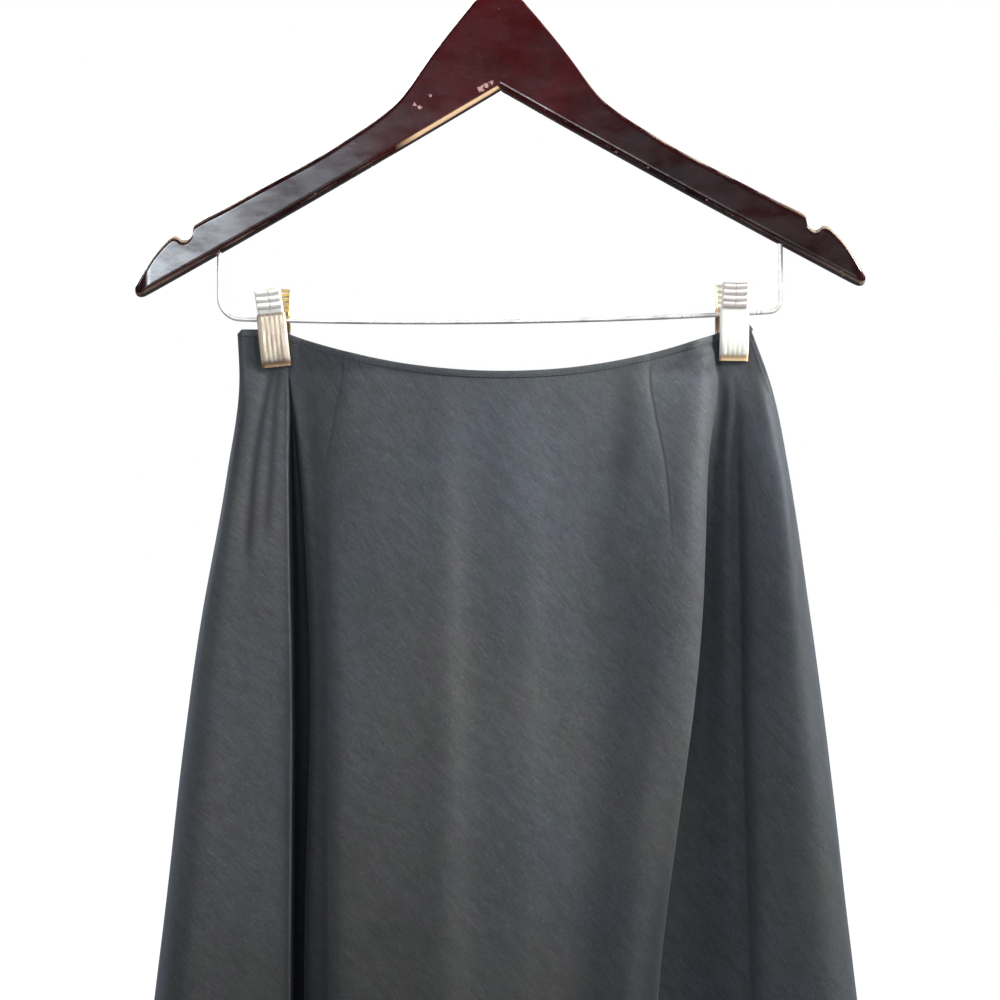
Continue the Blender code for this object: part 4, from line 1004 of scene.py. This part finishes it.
# Tones of the cloth: its yarns, its palest flecks, and what tints them from place to place.
DARK_YARN = (0.0346, 0.0349, 0.0348)
PALE_YARN = (0.0583, 0.0590, 0.0583)
FLECK = (0.105, 0.11, 0.112)
WARM_TO_COOL = ((1.03, 0.99, 0.90), (0.93, 0.99, 1.07))
VIOLET_TO_GREEN = ((1.055, 0.98, 1.075), (0.945, 1.02, 0.955))
DART_HIGHLIGHT = (0.105, 0.110, 0.116)
DEEP_SHADE = (0.010, 0.010, 0.011)


def woven(name):
    """Charcoal twill: steep diagonal yarns of uneven thickness, flecked with paler ones."""
    look = Finish(name, Specular_IOR_Level=0.3, Sheen_Weight=0.2, Sheen_Roughness=0.42,
                  Sheen_Tint=(0.72, 0.80, 0.90))
    diagonal = (0.0, 0.0, math.radians(47.0))
    slubs = look.noise(look.coordinates("cut", (150.0, 900.0, 1.0), diagonal), 1.0, 3.0, 0.6, 0.5)
    fine = look.noise(look.coordinates("cut", (420.0, 1500.0, 1.0), diagonal), 1.0, 2.0)
    weft = look.noise(look.coordinates("cut", (900.0, 330.0, 1.0)), 1.0, 2.0, 0.6)
    grains = look.noise(look.coordinates("cut"), 620.0, 2.0, 0.6)
    yarns = look.math("ADD", look.product(weft, 0.16), look.product(grains, 0.20))
    yarns = look.math("ADD", look.product(fine, 0.22), yarns)
    yarns = look.math("ADD", look.product(slubs, 0.42), yarns)
    cloth = look.blend(look.between(yarns, 0.36, 0.64), DARK_YARN, PALE_YARN)
    broad = look.noise(look.coordinates("cut"), 7.0, 3.0, 0.55)
    cool = look.blend(look.between(broad, 0.36, 0.62), *WARM_TO_COOL)
    tinted = look.blend(1.0, cloth, cool, "MULTIPLY")
    clouds = look.noise(look.coordinates("cut", (1.0, 0.8, 1.0)), 62.0, 4.0, 0.66, 0.5)
    violet = look.blend(look.between(clouds, 0.38, 0.62), *VIOLET_TO_GREEN)
    tinted = look.blend(1.0, tinted, violet, "MULTIPLY")
    drifts = look.noise(look.coordinates("cut", (1.0, 0.55, 1.0)), 17.0, 3.0, 0.6, 0.4)
    streaks = look.noise(look.coordinates("cut", (60.0, 190.0, 1.0), diagonal), 1.0, 4.0, 0.62, 0.4)
    patchy = look.product(look.between(drifts, 0.3, 0.7, 0.90, 1.10),
                          look.between(streaks, 0.3, 0.7, 0.84, 1.16))
    value = look.node("ShaderNodeCombineColor", {0: patchy, 1: patchy, 2: patchy})
    toned = look.blend(1.0, tinted, value, "MULTIPLY")
    flecks = look.noise(look.coordinates("cut", (330.0, 1250.0, 1.0), diagonal), 1.0, 1.0, 0.5, 0.6)
    flecked = look.blend(look.product(look.between(flecks, 0.64, 0.76), 0.45), toned, FLECK)
    # Bluer at the top; lower down, painted shade with a warm cast of bounced light, darker toward
    # the left.
    down = look.axes(look.coordinates("cut"))["Y"]
    tint_and_painted_falloff = look.blend(look.between(down, -0.02, -0.20), *TOP_TO_HIP)
    parts = look.axes(look.node("ShaderNodeTexCoord").outputs["Object"])
    lower = look.blend(look.between(parts["X"], 0.02, 0.11), *LOWER_PAINTED_SHADE)
    tint_and_painted_falloff = look.blend(look.between(down, -0.20, -0.38), tint_and_painted_falloff, lower)
    toned = look.blend(1.0, flecked, tint_and_painted_falloff, "MULTIPLY")
    shade = look.painted("shade")
    for dark_share, highlight_share, path in DARTS:
        beside, there = dart_line(look, parts, path)
        seam = look.between(look.math("ABSOLUTE", beside), 1.5 * MM, 0.3 * MM)
        shade = look.math("MAXIMUM", shade, look.product(seam, there, dark_share))
        # A painted highlight on the cloth beside the dart's line; the line itself is painted shade.
        ridge = look.product(look.between(beside, -3.6 * MM, -1.0 * MM),
                             look.between(beside, -0.3 * MM, -0.8 * MM), there, highlight_share)
        toned = look.blend(ridge, toned, DART_HIGHLIGHT)
    look.colour(look.blend(shade, toned, DEEP_SHADE))
    look.rough(look.between(yarns, 0.3, 0.7, 0.72, 0.58))
    look.bump(yarns, 0.20 * MM, 0.8)
    return look.material


charcoal = woven("charcoal twill")
front_points = softened(hung(FRONT_LINES, -1.0, WAIST_SAG), 3)
relief = relief_of(front_points, 3.0, FRONT_CREASES, ((0, 0.5, 0.9, 2.0), (-1, 0.6, 0.9, 2.2)))
front_points = front_points + outward(front_points, -1.0) * relief
front_all = turned_up(front_points, outward(front_points, -1.0))
front_cloth = cloth_piece("front_cloth", front_all, charcoal, CLOTH, FRONT_SHADE)
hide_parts("front_panel")

# ------------------------------------------------------------------ back panels
# The back is cut in two about a centre seam, which holds the zip in its top; it hangs in
# a narrower fold at either side.
BACK_SAG = 28.5 * MM
CENTRE_SEAM = ("centre seam", 0.0, 0.0, 0.0, 0.0, 0.0, 0.0, 25.0, 40.0, 81.0)
BACK_LEFT_LINES = (
    LEFT_SEAM,
    ("left turn",       -155.6, -153.8, -159.6, -174.5, -198.0, -254.0, 1.6, 13.0, 32.0),
    ("left side",       -151.0, -149.3, -153.2, -163.0, -181.0, -228.0, 1.6, 27.0, 60.0),
    ("left back ridge", -141.0, -140.0, -142.0, -146.0, -155.0, -185.0, 1.0, 36.0, 79.0),
    ("left back lip",   -134.0, -131.0, -128.0, -126.0, -126.0, -134.0, 1.0, 33.0, 72.0),
    ("left back floor", -126.0, -124.5, -119.0, -113.0, -108.0, -102.0, 1.0, 12.0, 19.0),
    ("left back wall",  -119.0, -116.5, -107.0, -99.0, -92.0, -78.0, 2.5, 35.0, 74.0),
    ("back left",       -78.0, -78.0, -76.0, -70.0, -58.0, -42.0, 16.0, 40.0, 82.0),
    CENTRE_SEAM,
)
BACK_RIGHT_LINES = (
    CENTRE_SEAM,
    ("back right",      70.0, 70.0, 68.0, 62.0, 52.0, 40.0, 18.0, 39.0, 78.0),
    ("right back wall", 120.0, 119.0, 110.0, 101.0, 92.0, 78.0, 4.0, 35.0, 74.0),
    ("right back floor", 130.0, 129.0, 123.0, 118.0, 113.0, 107.0, 1.0, 15.0, 26.0),
    ("right back lip",  136.0, 136.0, 135.0, 134.0, 136.0, 144.0, 1.0, 30.0, 68.0),
    ("right back ridge", 142.0, 147.0, 150.0, 154.0, 166.0, 200.0, 1.0, 33.0, 72.0),
    ("right side",      149.8, 160.0, 169.0, 178.5, 195.0, 248.0, 1.0, 22.0, 50.0),
    ("right turn",      152.4, 163.8, 174.4, 187.0, 210.8, 277.0, 1.4, 10.0, 24.0),
    RIGHT_SEAM,
)
BACK_CREASES = (
    ("left back dart",    -0.8, 0.9, 0.9, 5.0, 10.0,
     ((-82.0, -270.0), (-81.0, -300.0), (-78.0, -340.0), (-75.0, -385.0))),
    ("right back dart",   -0.8, 0.9, 0.9, 5.0, 10.0,
     ((84.0, -270.0), (83.0, -300.0), (80.0, -340.0), (77.0, -385.0))),
    ("left back drag",    -1.6, 12.0, 3.0, 10.0, 60.0,
     ((-136.0, -292.0), (-138.0, -320.0), (-141.0, -360.0), (-143.0, -420.0))),
    ("right back drag",   -1.4, 12.0, 3.0, 10.0, 60.0,
     ((139.0, -292.0), (141.0, -320.0), (144.0, -360.0), (147.0, -420.0))),
    ("left back ridge",   1.4, 26.0, 12.0, 60.0, 140.0,
     ((-36.0, -350.0), (-38.0, -500.0), (-36.0, -800.0), (-34.0, -1240.0))),
    ("right back dip",    -1.5, 20.0, 24.0, 60.0, 150.0,
     ((48.0, -380.0), (46.0, -600.0), (36.0, -900.0), (30.0, -1200.0))),
)
back_points = {}
for side, lines, seam, outer in (("left", BACK_LEFT_LINES, -1, 0),
                                 ("right", BACK_RIGHT_LINES, 0, -1)):
    points = softened(hung(lines, 1.0, BACK_SAG), 5)
    relief = relief_of(points, 11.0, BACK_CREASES, ((outer, 0.5, 0.9, 2.0), (seam, 0.55, 1.2)))
    relief *= np.where(np.abs(points[..., :1]) < 0.2 * MM, 0.7, 1.0)
    points = points + outward(points, 1.0) * relief
    points[:, seam, 0] = 0.0
    back_points[side] = points
    panel = cloth_piece(f"back_cloth_{side}", turned_up(points, outward(points, 1.0)), charcoal,
                        CLOTH)
    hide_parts(f"back_panel_{side}")

# ------------------------------------------------------------------ waist edge
# A narrow strip of the same cloth, rolled over the raw waist and stitched close below: one
# for the front, two for the back, which part where the zip opens.
STRIP_SPACING = 1.5 * MM
STITCH_EVERY = 2.9 * MM
STITCH = (2.0 * MM, 0.16 * MM, 0.34 * MM)      # length, half depth and width
STITCH_OUT = 0.66 * MM
STITCH_HEIGHT = 0.75 * MM
# Section of the strip: distance out of the cloth and height above its lower edge, in
# millimetres.
EDGE_SECTION = (
    (0.3, 0.0), (0.54, 0.10), (0.66, 0.6), (0.73, 1.4), (0.76, 2.4), (0.74, 3.4), (0.60, 4.1),
    (0.22, 4.5), (-0.2, 4.45), (-0.55, 3.9), (-0.68, 3.0), (-0.7, 1.6), (-0.66, 0.6), (-0.5, 0.0),
)


def waist_run(points, facing):
    """Even places along the waist: each with its direction out of the cloth and along."""
    line = points[2].copy()
    line[:, 2] = PANEL_TOP_Z + waist_dip(line[:, 0], WAIST_SAG if facing < 0 else BACK_SAG)
    run = lengths_along(line)
    even = np.linspace(0.0, run[-1], int(run[-1] / STRIP_SPACING) + 1)
    line = np.stack([np.interp(even, run, line[:, axis]) for axis in range(3)], -1)
    along = np.gradient(line, axis=0)
    along /= np.linalg.norm(along, axis=-1, keepdims=True)
    away = np.stack((along[:, 1], -along[:, 0], 0.0 * even), -1) * -facing
    away /= np.linalg.norm(away, axis=-1, keepdims=True)
    return line, away, along


def rolled_strip(points, facing):
    """The section, extruded from place to place along the waist."""
    line, away, along = waist_run(points, facing)
    shape = bmesh.new()
    corners = bmesh.ops.create_circle(shape, segments=len(EDGE_SECTION), radius=1.0)["verts"]
    edges = shape.edges[:]
    puckers = 0.07 * MM * np.sin(np.arange(len(line)) * 2.3) * np.sin(np.arange(len(line)) * 0.7)
    for number, (here, out) in enumerate(zip(line, away)):
        if number:
            corners, edges = next_ring(shape, corners, edges)
        near_end = 0.4 + 0.6 * min(1.0, min(number, len(line) - 1 - number) / 2.0)
        for corner, (distance, height) in zip(corners, EDGE_SECTION):
            swell = puckers[number] if distance > 0.6 else 0.0
            rise = np.array((0.0, 0.0, height * near_end * MM))
            place = here + out * (distance * MM + swell) + rise
            limit = SKIRT_Y + facing * 0.12 * MM
            place[1] = min(place[1], limit) if facing < 0 else max(place[1], limit)
            corner.co = place
    bmesh.ops.holes_fill(shape, edges=shape.edges[:], sides=0)
    return shape


def stitched(points, facing):
    """Short stitches along the strip's lower edge, each a small flattened ball."""
    line, away, along = waist_run(points, facing)
    run = lengths_along(line)
    shape = bmesh.new()
    for place in np.arange(4.0 * MM, run[-1] - 4.0 * MM, STITCH_EVERY):
        here, out, ahead = ([np.interp(place, run, values[:, axis]) for axis in range(3)]
                            for values in (line, away, along))
        here, out, ahead = Vector(here), Vector(out), Vector(ahead)
        middle = here + out * STITCH_OUT + Vector((0.0, 0.0, STITCH_HEIGHT))
        turned = Matrix((ahead, out, ahead.cross(out))).transposed().to_4x4()
        sized = Matrix.Diagonal((STITCH[0] / 2, STITCH[1], STITCH[2] / 2, 1.0))
        bmesh.ops.create_uvsphere(shape, u_segments=8, v_segments=5, radius=1.0,
                                  matrix=Matrix.Translation(middle) @ turned @ sized)
    return shape


edging = Finish("rolled edging", Specular_IOR_Level=0.32, Sheen_Weight=0.22,
                Sheen_Roughness=0.42, Sheen_Tint=(0.72, 0.80, 0.90))
yarns = edging.noise(edging.coordinates("Object", (700.0, 300.0, 900.0)), 1.0, 3.0, 0.6)
edging.colour(edging.blend(edging.between(yarns, 0.33, 0.67), (0.036, 0.037, 0.038),
                           (0.057, 0.059, 0.060)))
edging.rough(edging.between(yarns, 0.3, 0.7, 0.7, 0.56))
edging.bump(yarns, 0.14 * MM, 0.8)
thread = Finish("charcoal thread", Specular_IOR_Level=0.4)
strands = thread.noise(thread.coordinates("Object"), 1600.0, 2.0)
thread.colour(thread.blend(strands, (0.05, 0.053, 0.056), (0.095, 0.1, 0.105)))
thread.rough(thread.between(strands, 0.3, 0.7, 0.6, 0.45))
WAISTS = (
    ("front", front_points, -1.0, "waist_edge_front"),
    ("back_left", back_points["left"], 1.0, "waist_edge_back_left"),
    ("back_right", back_points["right"], 1.0, "waist_edge_back_right"),
)
for name, points, facing, node in WAISTS:
    strip = piece(f"{name}_waist_edge", rolled_strip(points, facing), edging.material,
                  "waist_binding", node, sharp=55.0)
    row = piece(f"{name}_waist_stitches", stitched(points, facing), thread.material,
                "waist_binding")

# ------------------------------------------------------------------ zip
# A concealed zip in the top of the back seam: a woven tape sewn inside, with the coil on its
# inner face, and outside only the slider and its pull, which hang at the top of the seam.
ZIP_LENGTH = 198.0 * MM
TAPE_WIDTH = 22.0 * MM
TAPE = 0.9 * MM
TAPE_COLUMNS = 24
TAPE_ROWS = 120
COIL_PITCH = 1.5 * MM
COIL_HALF_WIDTH = 2.1 * MM
COIL_HALF_DEPTH = 0.75 * MM
COIL_WIRE = 0.34 * MM
COIL_STEPS = 10


def inside_back(x, z, inward):
    """A point inside the back near its seam, at a distance from the cloth's middle."""
    panel = back_points["left" if x < 0.0 else "right"]
    near = panel[:, -12:] if x < 0.0 else panel[:, :12]
    depths = [np.interp(x, row[:, 0], row[:, 1]) for row in near]
    heights = [np.interp(x, row[:, 0], row[:, 2]) for row in near]
    depth = np.interp(-z, [-height for height in heights], depths)
    return Vector((x, depth - inward, z))


tape_top = PANEL_TOP_Z + waist_dip(0.0, BACK_SAG) - 0.6 * MM
shape = bmesh.new()
bmesh.ops.create_grid(shape, x_segments=TAPE_COLUMNS, y_segments=TAPE_ROWS, size=0.5)
for corner in shape.verts:
    corner.co = inside_back(corner.co.x * TAPE_WIDTH,
                            tape_top - (0.5 - corner.co.y) * ZIP_LENGTH, 0.95 * MM)
bmesh.ops.recalc_face_normals(shape, faces=shape.faces[:])
bmesh.ops.solidify(shape, geom=shape.faces[:], thickness=TAPE)
tape_look = Finish("zip tape", Specular_IOR_Level=0.3)
ribbed = tape_look.node("ShaderNodeTexWave", {
    "Vector": tape_look.coordinates("Object"), "Scale": 420.0, "Distortion": 1.0},
    bands_direction="X").outputs["Fac"]
tape_look.colour(tape_look.blend(ribbed, (0.024, 0.026, 0.028), (0.045, 0.048, 0.051)))
tape_look.rough(tape_look.between(ribbed, 0.0, 1.0, 0.8, 0.65))
tape_look.bump(ribbed, 0.1 * MM, 0.7)
tape = piece("zip_tape_woven", shape, tape_look.material, "zip_tape", "zip_tape", sharp=60.0)

turns = int((ZIP_LENGTH - 10.0 * MM) / COIL_PITCH)
coil_route = []
for step in range(turns * COIL_STEPS + 1):
    angle = 2.0 * math.pi * step / COIL_STEPS
    z = tape_top - 6.0 * MM - COIL_PITCH * step / COIL_STEPS
    seat = inside_back(0.0, z, 1.9 * MM + COIL_HALF_DEPTH * (1.0 - math.cos(angle)))
    coil_route.append(seat + Vector((COIL_HALF_WIDTH * math.sin(angle), 0.0, 0.0)))
coil_look = Finish("zip coil", Specular_IOR_Level=0.5)
drawn = coil_look.noise(coil_look.coordinates("Object"), 700.0, 2.0)
coil_look.colour(coil_look.blend(drawn, (0.018, 0.019, 0.021), (0.035, 0.037, 0.04)))
coil_look.rough(coil_look.between(drawn, 0.3, 0.7, 0.42, 0.30))
teeth = piece("zip_coil", swept_rod(coil_route, COIL_WIRE, 6, 0.0), coil_look.material,
              "zip_tape", sharp=60.0)

gunmetal = plated("gunmetal", (0.11, 0.115, 0.125), 0.3)
for node in ("zip_slider", "zip_pull"):
    metal = bpy.data.objects[node]
    metal.data.materials.clear()
    metal.data.materials.append(gunmetal.material)

# ------------------------------------------------------------------ floor and light
# A plain pale floor; a narrow raking light from the right, a weaker one from the left and
# one from behind.
FLOOR_Z = -1.33
FLOOR_RADIUS = 14.0
ROOM_LIGHT = 0.70
ROOM_TINT = (0.91, 0.985, 1.12, 1.0)
REFLECTED_ROOM = 0.09
BACKDROP_LIGHT = 1.0
BACKDROP_TINT = (1.0, 1.0, 1.0, 1.0)
AIM_X = -0.05
# Name, place, height aimed at, colour, width and height, spread in degrees, power.
LIGHTS = (
    ("key", (1.95, -0.66, 0.85), -0.25, (0.97, 1.0, 0.995), (0.7, 0.7), 38.0, 8.0),
    ("fill", (-2.4, -1.3, 0.9), -0.12, (0.95, 0.98, 1.03), (1.0, 1.0), 60.0, 2.9),
    ("behind", (-0.8, 2.9, 0.9), -0.25, (1.0, 1.0, 1.0), (1.6, 1.6), 180.0, 60.0),
)
# Cards that show only in reflections.
CARDS = (
    ("front card", (0.0, -2.4, -0.45), -0.25, (1.0, 0.97, 0.90), (1.5, 0.9), 180.0, 5.0),
    ("window card", (-0.21, -1.2, 0.0), -0.25, (0.88, 0.88, 1.0), (0.32, 0.24), 180.0, 1.4),
    ("pane card", (-0.16, -1.2, -0.03), -0.25, (0.80, 0.94, 1.0), (0.15, 0.26), 180.0, 3.1),
)

stage_look = Finish("pale floor", Base_Color=(0.1, 0.1, 0.1), Roughness=0.9,
                    Emission_Color=(1.0, 1.0, 0.995), Emission_Strength=0.97)
shape = bmesh.new()
bmesh.ops.create_circle(shape, cap_ends=True, segments=96, radius=FLOOR_RADIUS)
bmesh.ops.translate(shape, verts=shape.verts[:], vec=(0.0, 0.0, FLOOR_Z))
floor_mesh = bpy.data.meshes.new("floor")
shape.to_mesh(floor_mesh)
shape.free()
floor_mesh.materials.append(stage_look.material)
floor = bpy.data.objects.new("floor", floor_mesh)
scene.collection.objects.link(floor)
floor.visible_diffuse = False
floor.visible_glossy = False

world = bpy.data.worlds.new("studio")
world.use_nodes = True
scene.world = world
sky = world.node_tree.nodes
glow = sky["Background"]
world.cycles.sampling_method = "NONE"
ray = sky.new("ShaderNodeLightPath").outputs
level = sky.new("ShaderNodeMapRange")
level.inputs["To Min"].default_value = REFLECTED_ROOM
level.inputs["To Max"].default_value = ROOM_LIGHT
world.node_tree.links.new(ray["Is Diffuse Ray"], level.inputs["Value"])
brightness = sky.new("ShaderNodeMix")
brightness.inputs["B"].default_value = BACKDROP_LIGHT
world.node_tree.links.new(ray["Is Camera Ray"], brightness.inputs["Factor"])
world.node_tree.links.new(level.outputs["Result"], brightness.inputs["A"])
world.node_tree.links.new(brightness.outputs["Result"], glow.inputs["Strength"])
tint = sky.new("ShaderNodeMix")
tint.data_type = "RGBA"
world.node_tree.links.new(ray["Is Camera Ray"], tint.inputs["Factor"])
tint.inputs["A"].default_value = ROOM_TINT
tint.inputs["B"].default_value = BACKDROP_TINT
world.node_tree.links.new(tint.outputs["Result"], glow.inputs["Color"])

for row in (*LIGHTS, *CARDS):
    name, place, aim, colour, size, spread, power = row
    lamp = bpy.data.lights.new(name, "AREA")
    lamp.shape = "RECTANGLE"
    lamp.size, lamp.size_y = size
    lamp.color = colour
    lamp.energy = power
    lamp.spread = math.radians(spread)
    light = bpy.data.objects.new(name, lamp)
    light.location = place
    towards = Vector((AIM_X, 0.0, aim)) - Vector(place)
    light.rotation_euler = towards.to_track_quat("-Z", "Y").to_euler()
    light.visible_diffuse = row in LIGHTS
    scene.collection.objects.link(light)
scene.view_settings.view_transform = "Standard"
